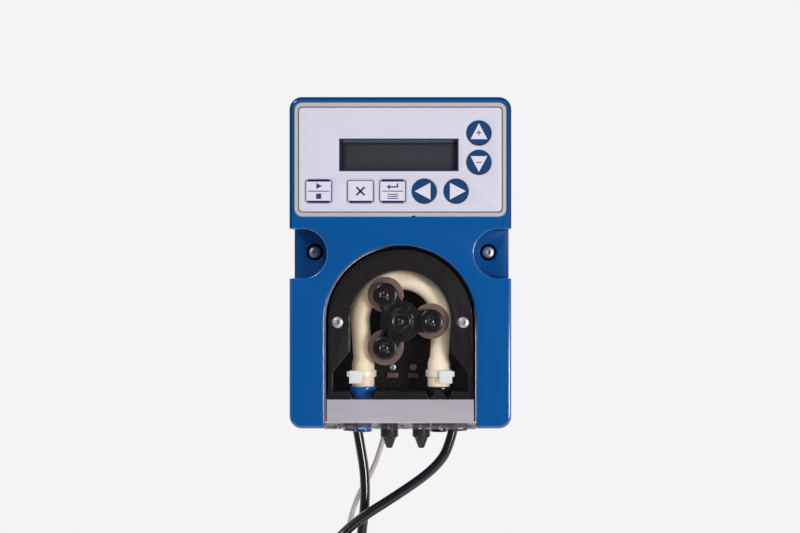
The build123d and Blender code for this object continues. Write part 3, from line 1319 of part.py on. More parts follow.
def lead_cores(coil, radius, layers, diameter, columns, count, core):
    """The bare cores at a lead's end: its outer front turn leaves the coil's foot sideways."""
    x, y, z = coil
    outer = radius + layers * diameter / 2
    last = outer - diameter / 2
    front = y - (columns - 1) * diameter / 2
    start = x + math.sqrt(outer**2 - last**2) - CORE_BITE
    sides = [front + (k - (count - 1) / 2) * core for k in range(count)]
    section = RegularPolygon(core / 2, CORE_SIDES, major_radius=False)
    planes = [Plane.YZ.offset(start) * Pos(side, z - last) for side in sides]
    return [extrude(plane * section, amount=CORE_LENGTH) for plane in planes]


def leads():
    """{node name: solid} for the three leads, their coils and their bare ends."""
    gland_end = REAR_BOTTOM - GLAND_LENGTH
    probe_end = REAR_BOTTOM - PROBE_GLAND_LENGTH
    thick = (LEAD_COIL_RADIUS, LEAD_COIL_LAYER_COUNT, LEAD_DIAMETER)
    thin = (PROBE_COIL_RADIUS, PROBE_COIL_LAYER_COUNT, PROBE_LEAD_DIAMETER)
    power_start = (gland_x(-3), GLAND_Y, gland_end)
    signal_start = (gland_x(3), GLAND_Y, gland_end)
    probe_start = (PROBE_GLAND_X, PROBE_GLAND_Y, probe_end)
    thick_cores = (*thick, LEAD_COIL_COLUMN_COUNT)
    thin_cores = (*thin, PROBE_COIL_COLUMN_COUNT)
    ends = lead_cores(POWER_COIL, *thick_cores, POWER_CORE_COUNT, CORE_DIAMETER)
    ends += lead_cores(SIGNAL_COIL, *thick_cores, SIGNAL_CORE_COUNT, CORE_DIAMETER)
    ends += lead_cores(PROBE_COIL, *thin_cores, PROBE_CORE_COUNT, PROBE_CORE_DIAMETER)
    return {
        "power_lead": lead("power", power_start, POWER_ROUTE, POWER_COIL, *thick),
        "signal_lead": lead("signal", signal_start, SIGNAL_ROUTE, SIGNAL_COIL, *thick),
        "probe_lead": lead("probe", probe_start, PROBE_ROUTE, PROBE_COIL, *thin),
        "power_lead_coil": lead_coil(POWER_COIL, *thick, LEAD_COIL_COLUMN_COUNT),
        "signal_lead_coil": lead_coil(SIGNAL_COIL, *thick, LEAD_COIL_COLUMN_COUNT),
        "probe_lead_coil": lead_coil(PROBE_COIL, *thin, PROBE_COIL_COLUMN_COUNT),
        "lead_ends": ends,
    }


def all_nodes():
    """{node name: a solid or a list of separate solids}."""
    nodes = {
        "wall_plate": wall_plate(),
        "rear_housing": rear_housing(),
        "housing_gasket": housing_gasket(),
        "front_housing": front_housing(),
        "housing_screws": housing_screws(),
        "keypad_bezel": keypad_bezel(),
        "keypad_panel": keypad_panel(),
        "key_domes": key_domes(),
        "key_board": key_board(),
        "display_window": display_window(),
        "display_module": display_module(),
        "pump_body": pump_body(),
        "pump_body_screws": pump_body_screws(),
        "chamber_screws": chamber_screws(),
        "chamber_pads": chamber_pads(),
        "pump_hose": pump_hose(),
        "suction_fitting": fitting(-FITTING_X),
        "discharge_fitting": fitting(FITTING_X),
        "hose_ties": hose_ties(),
        "clear_cover": clear_cover(),
        "rotor_front": rotor_front(),
        "rotor_back": rotor_back(),
        "roller_pins": roller_pins(),
        "rotor_screws": rotor_screws(),
        "output_shaft": output_shaft(),
        "output_gear": output_gear(),
        "idler_gear": idler_gear(),
        "motor_pinion": motor_pinion(),
        "idler_axle": idler_axle(),
        "gearbox_case": gearbox_case(),
        "gearbox_cover": gearbox_cover(),
        "gearbox_screws": gearbox_screws(),
        "output_bush": output_bush(),
        "shaft_seal": shaft_seal(),
        "motor_case": motor_case(),
        "main_board": main_board(),
        "board_screws": board_screws(),
        "transformer": transformer(),
        "terminal_block": terminal_block(),
        "power_gland": gland(gland_x(-3)),
        "signal_gland": gland(gland_x(3)),
        "probe_gland": probe_gland(),
        "blind_grommets": blind_grommets(),
    }
    for k, (x, z) in enumerate(roller_places(), start=1):
        nodes[f"roller_{k}"] = roller(x, z)
    nodes.update(key_caps())
    nodes.update(leads())
    return nodes


def write_nodes():
    """Writes one STEP file for each node."""
    os.makedirs("parts", exist_ok=True)
    for name, shape in all_nodes().items():
        solids = shape if isinstance(shape, list) else [shape]
        whole = Compound(children=solids) if len(solids) > 1 else solids[0]
        export_step(whole, f"parts/{name}.step")


if __name__ == "__main__":
    write_nodes()
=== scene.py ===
"""Looks of a wall-mounted dosing pump with three rollers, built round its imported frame.

Sizes are in millimetres unless a name says otherwise; Blender's objects are in metres.
"""

import logging
import math
from collections.abc import Callable, Iterable, Mapping, Sequence
from dataclasses import dataclass
from enum import Enum

import bmesh
import bpy
from mathutils import Euler, Matrix, Vector


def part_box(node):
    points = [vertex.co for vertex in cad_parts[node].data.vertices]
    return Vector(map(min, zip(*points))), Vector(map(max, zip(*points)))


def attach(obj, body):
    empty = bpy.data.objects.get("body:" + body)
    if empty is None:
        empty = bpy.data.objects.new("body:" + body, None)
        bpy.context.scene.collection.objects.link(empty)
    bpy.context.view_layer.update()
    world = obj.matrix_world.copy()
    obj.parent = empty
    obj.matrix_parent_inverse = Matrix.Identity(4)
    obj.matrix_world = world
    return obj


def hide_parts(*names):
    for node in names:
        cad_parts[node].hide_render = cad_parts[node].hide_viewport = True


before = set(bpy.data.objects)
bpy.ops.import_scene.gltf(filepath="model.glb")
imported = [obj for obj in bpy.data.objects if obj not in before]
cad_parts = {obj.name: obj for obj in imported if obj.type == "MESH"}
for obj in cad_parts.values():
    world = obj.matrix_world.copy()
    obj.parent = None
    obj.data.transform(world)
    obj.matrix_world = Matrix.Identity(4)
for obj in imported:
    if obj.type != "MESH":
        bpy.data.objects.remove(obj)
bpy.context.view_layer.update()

LOG = logging.getLogger("pump")
MM = 0.001
WELD = 1e-6
NODE_WELD = 2e-6
FLAT = math.radians(0.4)

Point = tuple[float, float, float]
Spot = tuple[float, float]
Colour = tuple[float, float, float]
Number = "float | Signal"
Test = Callable[[Vector, Vector], bool]


def rgb(red: int, green: int, blue: int) -> Colour:
    """Return a linear colour from 8-bit display values."""
    shares = (value / 255 for value in (red, green, blue))
    return tuple(s / 12.92 if s <= 0.04045 else ((s + 0.055) / 1.055) ** 2.4 for s in shares)


def metres(place: Iterable[float]) -> Vector:
    """Return a place given in millimetres as a vector in metres."""
    return Vector(place) * MM


# ------------------------------------------------------------------ shader nodes


class Signal:
    """A value that varies over a surface, with arithmetic that adds Math nodes."""

    def __init__(self, net: "Net", socket: bpy.types.NodeSocket) -> None:
        """Wrap one output socket of a net."""
        self.net = net
        self.socket = socket

    def _math(self, operation: str, first: Number, second: Number = 0.0) -> "Signal":
        """Add one Math node with its two operands, and return its result."""
        return self.net.node("ShaderNodeMath", {"operation": operation}, {0: first, 1: second})

    def __add__(self, other: Number) -> "Signal":
        """Return self + other."""
        return self._math("ADD", self, other)

    def __radd__(self, other: Number) -> "Signal":
        """Return other + self."""
        return self._math("ADD", other, self)

    def __sub__(self, other: Number) -> "Signal":
        """Return self - other."""
        return self._math("SUBTRACT", self, other)

    def __rsub__(self, other: Number) -> "Signal":
        """Return other - self."""
        return self._math("SUBTRACT", other, self)

    def __mul__(self, other: Number) -> "Signal":
        """Return self * other."""
        return self._math("MULTIPLY", self, other)

    def __rmul__(self, other: Number) -> "Signal":
        """Return other * self."""
        return self._math("MULTIPLY", other, self)

    def __abs__(self) -> "Signal":
        """Return the size of the signal without its sign."""
        return self._math("ABSOLUTE", self)

    def either(self, other: Number) -> "Signal":
        """Return the larger of the two at each point."""
        return self._math("MAXIMUM", self, other)

    def wave(self) -> "Signal":
        """Return the sine of the signal."""
        return self._math("SINE", self)

    def between(self, low: float, high: float) -> "Signal":
        """Rise smoothly from 0 to 1.

        Args:
            low: The value that gives 0.
            high: The value that gives 1; less than low turns the rise round.

        Returns:
            The eased signal.
        """
        kind, settings = "ShaderNodeMapRange", {"interpolation_type": "SMOOTHSTEP"}
        if high > low:
            return self.net.node(kind, settings, {0: self, 1: low, 2: high})
        return 1 - self.net.node(kind, settings, {0: self, 1: high, 2: low})


class Net:
    """The node tree of one material or world."""

    def __init__(self, owner: bpy.types.ID) -> None:
        """Take the tree of a material or world, and let it use nodes."""
        owner.use_nodes = True
        self.tree = owner.node_tree

    def node(
        self,
        kind: str,
        settings: Mapping[str, object] | None = None,
        inputs: Mapping[int | str, object] | None = None,
        output: int | str = 0,
    ) -> Signal:
        """Add one node.

        Args:
            kind: Blender's type of the node.
            settings: Its properties, set first.
            inputs: A value or a signal for each socket, by name or by number.
            output: The output to hand back.

        Returns:
            That output as a signal.
        """
        made = self.tree.nodes.new(kind)
        for name, value in (settings or {}).items():
            setattr(made, name, value)
        for name, value in (inputs or {}).items():
            self.feed(made.inputs[name], value)
        return Signal(self, made.outputs[output] if len(made.outputs) else made.inputs[0])

    def feed(self, socket: bpy.types.NodeSocket, value: object) -> None:
        """Link a signal to a socket, or set the socket's own value.

        Args:
            socket: The input.
            value: A signal, a number, a vector or a colour.
        """
        if isinstance(value, Signal):
            self.tree.links.new(value.socket, socket)
        elif socket.type == "RGBA" and len(value) == 3:
            socket.default_value = (*value, 1.0)
        else:
            socket.default_value = value

    def place(self, stretch: Point = (1.0, 1.0, 1.0)) -> Signal:
        """Return the point on the piece, in millimetres.

        Args:
            stretch: What each coordinate is multiplied by.

        Returns:
            The point, for a texture.
        """
        point = self.node("ShaderNodeTexCoord", output="Object")
        scale = tuple(value / MM for value in stretch)
        return self.node("ShaderNodeMapping", {"vector_type": "POINT"}, {0: point, 3: scale})

    def axis(self, index: int) -> Signal:
        """Return one coordinate of the point, in millimetres."""
        return self.node("ShaderNodeSeparateXYZ", None, {0: self.place()}, index)

    def grain(self, size: float, detail: float = 2.0, stretch: Point = (1, 1, 1)) -> Signal:
        """Return noise from 0 to 1 with specks of a size, finer layers and a squeeze."""
        inputs = {"Vector": self.place(stretch), "Scale": 1 / size, "Detail": detail}
        return self.node("ShaderNodeTexNoise", None, inputs)

    def blend(self, share: Number, first: object, second: object) -> Signal:
        """Mix two colours; the second shows where the share is 1."""
        inputs = {0: share, 6: first, 7: second}
        return self.node("ShaderNodeMix", {"data_type": "RGBA"}, inputs, 2)

    def relief(self, height: Signal, depth: float, strength: float = 1.0) -> Signal:
        """Return a normal that shows a height from 0 to 1 as deep as the depth."""
        inputs = {"Height": height, "Distance": depth * MM, "Strength": strength}
        return self.node("ShaderNodeBump", None, inputs)

    def surface(self, **inputs: object) -> None:
        """Feed the tree's own Principled shader.

        Args:
            inputs: A value or a signal for each input; underscores stand for spaces.
        """
        shader = next(n for n in self.tree.nodes if n.type == "BSDF_PRINCIPLED")
        for name, value in inputs.items():
            self.feed(shader.inputs[name.replace("_", " ")], value)


# ------------------------------------------------------------------ finishes


@dataclass(frozen=True)
class Finish:
    """How a surface looks, and the record's slot that it belongs to."""

    name: str
    slot: str
    colour: Colour

    def material(self) -> bpy.types.Material:
        """Return the finish as a material, which is made only once."""
        label = f"{self.name}_finish"
        if label in bpy.data.materials:
            return bpy.data.materials[label]
        made = bpy.data.materials.new(label)
        self.paint(Net(made))
        return made

    def toned(self, factor: float, lift: float = 0.0) -> Colour:
        """Return the colour made brighter or darker."""
        return tuple(min(1.0, value * factor + lift) for value in self.colour)

    def paint(self, net: Net) -> None:
        """Fill the material's nodes; each kind of finish does it in its own way."""
        raise NotImplementedError


@dataclass(frozen=True)
class Moulding(Finish):
    """Moulded plastic: fine spark-eroded grain, faint flow marks and a light haze."""

    roughness: float = 0.4
    grain: float = 0.35
    depth: float = 0.01
    flow: float = 0.06
    coat: float = 0.0
    gloss: float = 0.5

    def paint(self, net: Net) -> None:
        """Fill the material's nodes.

        Args:
            net: The material's tree.
        """
        fine = net.grain(self.grain, 3.0)
        clouds = net.grain(24.0, 2.0, (1.0, 1.0, 0.5))
        rubbed = net.grain(3.0, 4.0).between(0.58, 0.78)
        tone = net.blend(clouds * self.flow * 4, self.colour, self.toned(0.86))
        net.surface(
            Base_Color=net.blend(fine * self.flow, tone, self.toned(1.18, 0.006)),
            Roughness=self.roughness + (clouds - 0.5) * 0.1 - rubbed * 0.02,
            Normal=net.relief(fine, self.depth),
            Coat_Weight=self.coat,
            Coat_Roughness=0.12,
            Specular_IOR_Level=self.gloss,
        )


@dataclass(frozen=True)
class Film(Finish):
    """Printed face film: satin, with a fine weave-like texture and hardly any shine."""

    roughness: float = 0.42

    def paint(self, net: Net) -> None:
        """Fill the material's nodes.

        Args:
            net: The material's tree.
        """
        fine = net.grain(0.22, 2.0)
        clouds = net.grain(30.0, 1.0)
        net.surface(
            Base_Color=net.blend(clouds * 0.5, self.colour, self.toned(0.93)),
            Roughness=self.roughness + (fine - 0.5) * 0.12,
            Normal=net.relief(fine, 0.006),
            Specular_IOR_Level=0.4,
        )


@dataclass(frozen=True)
class Metal(Finish):
    """Machined or rolled metal with fine lines along one axis and small stains."""

    roughness: float = 0.25
    lines: Point = (1.0, 1.0, 1.0)

    def paint(self, net: Net) -> None:
        """Fill the material's nodes.

        Args:
            net: The material's tree.
        """
        drawn = net.grain(0.5, 3.0, self.lines)
        stains = net.grain(2.6, 3.0).between(0.45, 0.75)
        net.surface(
            Base_Color=net.blend(stains * 0.5, self.colour, self.toned(0.6)),
            Metallic=1.0,
            Roughness=self.roughness + drawn * 0.14,
            Normal=net.relief(drawn, 0.006),
        )


@dataclass(frozen=True)
class SoftTube(Finish):
    """Soft extruded rubber: matt, faintly streaked, darker and warmer towards its left as painted
    shade, with a faint painted glow.
    """

    shade: Colour = (0.6, 0.45, 0.3)
    shade_from: float = -12.0
    shade_to: float = -25.0

    def paint(self, net: Net) -> None:
        """Fill the material's nodes.

        Args:
            net: The material's tree.
        """
        fine = net.grain(0.3, 3.0)
        clouds = net.grain(5.0, 3.0, (1.0, 1.0, 0.4)).between(0.35, 0.8)
        # painted shade: darker, warmer colour towards the hose's left side
        painted_shade = net.axis(0).between(self.shade_from, self.shade_to)
        net.surface(
            Base_Color=net.blend(clouds * 0.3 + painted_shade * 0.55, self.colour, self.shade),
            Roughness=0.5 + (fine - 0.5) * 0.16,
            Normal=net.relief(fine, 0.012),
            Subsurface_Weight=0.12,
            Subsurface_Radius=(0.004, 0.0025, 0.0012),
            Subsurface_Scale=0.5,
            Specular_IOR_Level=0.4,
            # painted glow: the hose gives off a little light in its own colour
            Emission_Color=self.colour,
            Emission_Strength=0.08,
        )


@dataclass(frozen=True)
class Jacket(Finish):
    """Cable jacket: extruded, glossy, with a slight ripple and handling marks."""

    roughness: float = 0.26

    def paint(self, net: Net) -> None:
        """Fill the material's nodes.

        Args:
            net: The material's tree.
        """
        ripple = net.grain(3.0, 1.0)
        marks = net.grain(0.4, 4.0).between(0.55, 0.8)
        net.surface(
            Base_Color=net.blend(marks * 0.3, self.colour, self.toned(1.3, 0.01)),
            Roughness=self.roughness + marks * 0.08,
            Normal=net.relief(ripple, 0.012, 0.5),
            Coat_Weight=0.4,
            Coat_Roughness=0.1,
        )


@dataclass(frozen=True)
class Clear(Finish):
    """See-through plastic: light passes, with hairline scratches and a glossy face."""

    veil: float = 0.08
    haze: float = 0.06

    def paint(self, net: Net) -> None:
        """Fill the material's nodes.

        Args:
            net: The material's tree.
        """
        scratch = net.grain(1.2, 2.0, (1.0, 1.0, 14.0)).between(0.66, 0.74)
        across = net.grain(1.6, 2.0, (9.0, 1.0, 1.4)).between(0.68, 0.76)
        marks = scratch.either(across)
        dust = net.grain(6.0, 4.0)
        net.surface(
            Base_Color=net.blend(dust, self.colour, self.toned(0.94)),
            Roughness=self.haze + marks * 0.25,
            Alpha=self.veil + marks * 0.02 + dust * (self.veil * 0.3),
            Normal=net.relief(marks, 0.004),
            Coat_Weight=0.4,
            Coat_Roughness=0.03,
        )


@dataclass(frozen=True)
class Frosted(Clear):
    """Matt inside face of a clear moulding: milky, with faint smears and a few dark specks."""

    def paint(self, net: Net) -> None:
        """Fill the material's nodes.

        Args:
            net: The material's tree.
        """
        smears = net.grain(5.0, 3.0, (0.25, 1.0, 1.6))
        specks = net.grain(1.3, 2.0).between(0.68, 0.75)
        tone = net.blend(smears.between(0.35, 0.7) * 0.45, self.colour, self.toned(0.8))
        fine = net.grain(0.3, 2.0)
        net.surface(
            Base_Color=net.blend(specks * 0.4, tone, rgb(120, 112, 118)),
            Roughness=self.haze + fine * 0.2,
            Alpha=self.veil + smears * 0.06,
            Normal=net.relief(fine, 0.008),
        )


@dataclass(frozen=True)
class RimPane(Clear):
    """Rounded rim of a clear cover: a pale painted highlight down its left and straight sides, a
    dark painted shadow round the rest.
    """

    thin: float = 0.3

    def paint(self, net: Net) -> None:
        """Fill the material's nodes.

        Args:
            net: The material's tree.
        """
        across, up = net.axis(0), net.axis(2)
        # lit is where the painted highlight goes; elsewhere the dark colour is a painted shadow
        lit = across.between(-4.0, -20.0).either(up.between(-30.0, -42.0))
        wear = net.grain(2.0, 3.0).between(0.35, 0.6)
        net.surface(
            Base_Color=net.blend(lit * (wear * 0.3 + 0.7), rgb(40, 36, 44), self.colour),
            Roughness=self.haze + wear * 0.1,
            Alpha=lit * (self.veil - self.thin) + self.thin,
            Normal=net.relief(wear, 0.004),
            Coat_Weight=0.5,
            Coat_Roughness=0.05,
        )


@dataclass(frozen=True)
class ThickPane(Clear):
    """Thick clear wall seen on its edge: painted dark and bright streaks of reflection, and painted
    highlight lines along it.
    """

    def paint(self, net: Net) -> None:
        """Fill the material's nodes.

        Args:
            net: The material's tree.
        """
        # painted reflections: darker and brighter streaks through the wall
        level = net.grain(9.0, 1.0, (0.4, 1.0, 4.0)).between(0.4, 0.6)
        blocks = net.grain(4.0, 1.0, (1.0, 0.3, 0.2)).between(0.5, 0.6)
        tone = net.blend(level * 0.55, self.colour, self.toned(4.2))
        tone = net.blend(blocks * 0.3, tone, rgb(150, 142, 150))
        # painted highlights: a bright band along the top edge and bright patches lower down
        up = net.axis(2)
        lines = up.between(-90.0, -89.6).either(up.between(-92.2, -92.6) * blocks)
        net.surface(
            Base_Color=net.blend(lines * 0.85, tone, rgb(214, 208, 216)),
            Roughness=self.haze + level * 0.1,
            Alpha=self.veil + level * 0.12 + lines * 0.3,
            Normal=net.relief(level, 0.012),
            Coat_Weight=0.5,
            Coat_Roughness=0.04,
        )


@dataclass(frozen=True)
class Display(Finish):
    """Liquid crystal pane: dark, greener at its left, with a pale strip at its top."""

    centre: Point = (0.0, 0.0, 0.0)
    half_width: float = 30.0
    half_height: float = 8.0

    def paint(self, net: Net) -> None:
        """Fill the material's nodes.

        Args:
            net: The material's tree.
        """
        x, z = net.axis(0), net.axis(2)
        across, up = x - self.centre[0], z - self.centre[2]
        side, top = self.half_width, self.half_height
        ends = abs(across)
        lit = ends.between(side - 1.2, side - 3.2) * 0.8 + 0.2
        layers = (
            (across.between(4.0, -22.0) * up.between(9.0, -4.0) * 0.6, rgb(50, 60, 58)),
            (up.between(4.5 - top, -top) * 0.5, rgb(22, 26, 30)),
            (ends.between(side - 5.0, side - 1.0) * 0.85, rgb(10, 11, 16)),
            (up.between(top - 3.6, top - 2.2) * 0.6, rgb(14, 15, 19)),
            (up.between(top - 1.75, top - 1.5) * lit, rgb(96, 104, 118)),
        )
        tone = self.colour
        for share, colour in layers:
            tone = net.blend(share, tone, colour)
        fine = net.grain(0.25, 1.0)
        net.surface(Base_Color=tone, Roughness=0.3 + fine * 0.08, Normal=net.relief(fine, 0.002))


@dataclass(frozen=True)
class Board(Finish):
    """Circuit board: green lacquer over lighter copper tracks and round pads."""

    def paint(self, net: Net) -> None:
        """Fill the material's nodes.

        Args:
            net: The material's tree.
        """
        where = net.place()
        settings = {"offset": 0.5, "squash": 0.6}
        brick = {"Vector": where, "Scale": 0.16, "Mortar Size": 0.03, "Mortar Smooth": 0.2}
        tracks = net.node("ShaderNodeTexBrick", settings, brick, "Fac")
        cell = {"Vector": where, "Scale": 0.32}
        pads = net.node("ShaderNodeTexVoronoi", None, cell, "Distance").between(0.16, 0.12)
        tone = net.blend(tracks * 0.6, self.colour, self.toned(2.4))
        net.surface(
            Base_Color=net.blend(pads, tone, rgb(190, 190, 180)),
            Roughness=0.3 + pads * 0.2,
            Normal=net.relief(tracks.either(pads), 0.03),
        )


@dataclass(frozen=True)
class Wound(Finish):
    """Taped winding of a transformer: overlapping bands of tape between iron laminations."""

    def paint(self, net: Net) -> None:
        """Fill the material's nodes.

        Args:
            net: The material's tree.
        """
        bands = (net.axis(2) * 1.05).wave()
        sheets = (net.axis(1) * 9.0).wave().between(0.2, 0.7)
        wrinkles = net.grain(2.0, 4.0, (0.4, 1.0, 2.5))
        tone = net.blend(bands.between(0.4, 0.9) * 0.4, self.colour, rgb(150, 120, 40))
        net.surface(
            Base_Color=net.blend(sheets * 0.15, tone, rgb(90, 80, 60)),
            Roughness=0.34 + wrinkles * 0.2,
            Normal=net.relief(bands.between(0.5, 0.9) * 0.5 + wrinkles * 0.4, 0.08),
        )


BLUE = Moulding("body_blue", "housing_blue", rgb(0, 84, 152), 0.3, 0.5, 0.004, 0.05, gloss=0.18)
# glossier, coated moulding for the front edges; its colour, a little lighter than the body's, is a
# painted highlight
BLUE_EDGE = Moulding("edge_blue", "housing_blue", rgb(6, 96, 168), 0.22, 0.8, 0.002, 0.03, 0.9, 0.8)
# painted shade: darker blue for the outer edges above the side recesses
SHADED_RIM_BLUE = Moulding("shaded_rim_blue", "housing_blue", rgb(0, 60, 108), 0.34, gloss=0.1)
# painted shadow: near-black blue for the walls of the screw holes
RECESS_SHADOW = Moulding("recess_shadow", "housing_blue", rgb(2, 8, 16), 0.5, gloss=0.1)
BEIGE = Moulding("bezel_beige", "bezel_beige", rgb(192, 185, 186), 0.42, 0.5, 0.004, 0.04)
# painted shadow: dark colour on the frame's inner walls, for the shadow line round the film
FRAME_GROOVE_SHADOW = Moulding("frame_groove_shadow", "bezel_beige", rgb(58, 54, 58), 0.5, gloss=0.1)
PANEL = Film("panel_film", "panel_white", rgb(218, 216, 230))
# painted shadow: dark colour on the film's outer sides, for the same shadow line
FILM_EDGE_SHADOW = Film("film_edge_shadow", "panel_white", rgb(64, 60, 66), 0.5)
KEY_BLUE = Film("key_blue_film", "key_blue", rgb(16, 64, 114), 0.36)
KEY_WHITE = Film("key_white_film", "key_white", rgb(226, 223, 236))
PRINT_NAVY = Film("print_navy", "key_blue", rgb(44, 62, 122), 0.4)
PRINT_WHITE = Film("print_white", "key_white", rgb(226, 223, 236), 0.4)
BORDER_NAVY = Film("border_navy", "key_blue", rgb(33, 49, 96), 0.4)
LCD = Display("liquid_crystal", "display_grey", rgb(56, 60, 66), (-0.8, 0.0, 60.35), 33.2, 8.9)
GLASS = Clear("display_glass", "display_clear", rgb(90, 94, 102), 0.08, 0.08)
BLACK = Moulding("pump_black", "pump_black", rgb(30, 27, 27), 0.28, 0.9, 0.004, 0.1, 0.0, 0.45)
ROTOR = Moulding("rotor_black", "rotor_black", rgb(17, 15, 16), 0.3, 1.2, 0.003, 0.1, 0.1, 0.5)
ROLLER = Moulding("roller_brown", "roller_brown", rgb(124, 100, 88), 0.3, 0.8, 0.004, 0.12, 0.2)
ROLLER_CORE = Moulding("roller_core", "roller_brown", rgb(84, 66, 58), 0.35, 0.8, 0.004, 0.12)
PANE = Clear("cover_pane", "cover_clear", rgb(96, 92, 98), 0.01, 0.05)
# the pale rim colour is a painted highlight
PANE_EDGE = RimPane("cover_edge", "cover_clear", rgb(206, 200, 216), 0.62, 0.1)
# its streaks and bright lines are painted reflections and highlights
PANE_FOOT = ThickPane("cover_foot", "cover_clear", rgb(62, 56, 62), 0.5, 0.07)
FROSTED = Frosted("cover_frosted", "cover_clear", rgb(208, 201, 209), 0.68, 0.34)
# the second colour is the painted shade at the hose's left, also used for its faint streaks
HOSE = SoftTube("hose_cream", "hose_cream", rgb(252, 236, 208), rgb(226, 196, 158))
TIE = Moulding("tie_nylon", "tie_white", rgb(238, 236, 235), 0.32, 0.9, 0.004, 0.04, 0.1)
TIE_BAND = Moulding("tie_band", "tie_white", rgb(250, 240, 220), 0.32, 0.9, 0.004, 0.04, 0.1)
FITTING_BLUE = Moulding(
    "fitting_blue", "fitting_blue", rgb(0, 92, 170), 0.24, 0.8, 0.004, coat=0.2, gloss=0.3
)
FITTING_BLACK = Moulding(
    "fitting_black", "fitting_black", rgb(22, 21, 23), 0.2, 0.8, 0.004, coat=0.2
)
PAD = Moulding("contact_pad", "pad_brown", rgb(120, 84, 78), 0.3, 0.5, coat=0.2)
STEEL = Metal("screw_steel", "screw_steel", rgb(226, 224, 228), 0.4)
DARK_STEEL = Metal("dark_steel", "dark_steel", rgb(104, 98, 98), 0.24)
SHAFT_STEEL = Metal("shaft_steel", "shaft_steel", rgb(196, 198, 202), 0.16, (1.0, 0.1, 1.0))
GEAR = Moulding("gear_acetal", "gear_white", rgb(226, 224, 214), 0.34, 0.6, 0.006)
BRASS = Metal("pinion_brass", "pinion_brass", rgb(206, 170, 94), 0.2, (1.0, 0.1, 1.0))
BRONZE = Metal("bush_bronze", "bush_bronze", rgb(168, 118, 72), 0.36)
ZINC = Metal("case_zinc", "case_zinc", rgb(170, 172, 176), 0.42)
MOTOR = Moulding("motor_paint", "motor_paint", rgb(62, 64, 68), 0.34, 0.9, 0.02, 0.08)
LAMINATE = Board("circuit_board", "board_green", rgb(18, 84, 52))
DOME_STEEL = Metal("dome_steel", "dome_steel", rgb(216, 214, 208), 0.18)
WINDING = Wound("taped_winding", "transformer_yellow", rgb(214, 178, 62))
TERMINAL = Moulding("terminal_green", "terminal_green", rgb(40, 128, 74), 0.38)
RUBBER = Moulding("gasket_rubber", "gasket_black", rgb(26, 26, 27), 0.62, 0.4, 0.02)
GLAND = Moulding("gland_nylon", "gland_black", rgb(24, 24, 26), 0.26, 0.5, 0.008, 0.1, 0.2)
GROMMET = Moulding("grommet_rubber", "grommet_black", rgb(28, 28, 30), 0.3, 0.5, 0.01, 0.1, 0.2)
LEAD_BLACK = Jacket("lead_black", "cable_black", rgb(34, 32, 33), 0.16)
LEAD_WHITE = Jacket("lead_white", "cable_white", rgb(214, 206, 197), 0.34)
CORE_BROWN = Jacket("core_brown", "core_copper", rgb(92, 52, 34), 0.36)
CORE_BLUE = Jacket("core_blue", "core_copper", rgb(42, 98, 168), 0.36)
CORE_GREEN = Jacket("core_green", "core_copper", rgb(94, 148, 62), 0.36)
CORE_WHITE = Jacket("core_white", "core_copper", rgb(222, 220, 214), 0.36)
COPPER = Metal("bare_copper", "core_copper", rgb(206, 128, 88), 0.22, (0.1, 1.0, 1.0))

NODES_BY_FINISH: dict[Finish, str] = {
    BLUE: "front_housing rear_housing wall_plate",
    RUBBER: "housing_gasket shaft_seal",
    STEEL: "housing_screws pump_body_screws",
    DARK_STEEL: "chamber_screws rotor_screws gearbox_screws board_screws",
    BEIGE: "keypad_bezel",
    PANEL: "keypad_panel",
    KEY_BLUE: "key_up key_down key_left key_right",
    KEY_WHITE: "key_start_stop key_escape key_enter",
    LAMINATE: "key_board main_board",
    DOME_STEEL: "key_domes",
    GLASS: "display_window",
    LCD: "display_module",
    BLACK: "pump_body",
    PAD: "chamber_pads",
    PANE: "clear_cover",
    HOSE: "pump_hose",
    TIE: "hose_ties",
    FITTING_BLUE: "suction_fitting",
    FITTING_BLACK: "discharge_fitting",
    ROTOR: "rotor_front rotor_back",
    ROLLER: "roller_1 roller_2 roller_3",
    SHAFT_STEEL: "roller_pins output_shaft idler_axle",
    GEAR: "output_gear idler_gear",
    BRASS: "motor_pinion",
    BRONZE: "output_bush",
    ZINC: "gearbox_case gearbox_cover",
    MOTOR: "motor_case",
    WINDING: "transformer",
    TERMINAL: "terminal_block",
    GLAND: "power_gland signal_gland",
    GROMMET: "probe_gland blind_grommets",
    LEAD_BLACK: "power_lead signal_lead power_lead_coil signal_lead_coil",
    LEAD_WHITE: "probe_lead probe_lead_coil",
    COPPER: "lead_ends",
}


# ------------------------------------------------------------------ modelling


class Facing(Enum):
    """The way that the top of a primitive looks, as the primitive's rotation."""

    DOWN = (math.pi, 0.0, 0.0)
    FRONT = (math.pi / 2, 0.0, 0.0)
    RIGHT = (0.0, math.pi / 2, 0.0)

    def way(self) -> Vector:
        """Return the direction as a unit vector."""
        return Euler(self.value).to_matrix() @ Vector((0.0, 0.0, 1.0))


def leave_edit() -> None:
    """Go to object mode with nothing selected."""
    active = bpy.context.view_layer.objects.active
    if active is not None and active.mode != "OBJECT":
        bpy.ops.object.mode_set(mode="OBJECT")
    bpy.ops.object.select_all(action="DESELECT")


def activate(piece: bpy.types.Object) -> None:
    """Select one piece alone, in object mode.

    Args:
        piece: The piece.
    """
    leave_edit()
    piece.select_set(True)
    bpy.context.view_layer.objects.active = piece


def put_in_scene(name: str, data: bpy.types.ID) -> bpy.types.Object:
    """Put some data in the scene.

    Args:
        name: The new object's name.
        data: What it shows: a mesh, a curve, a lamp or a camera.

    Returns:
        The new object.
    """
    made = bpy.data.objects.new(name, data)
    bpy.context.scene.collection.objects.link(made)
    return made


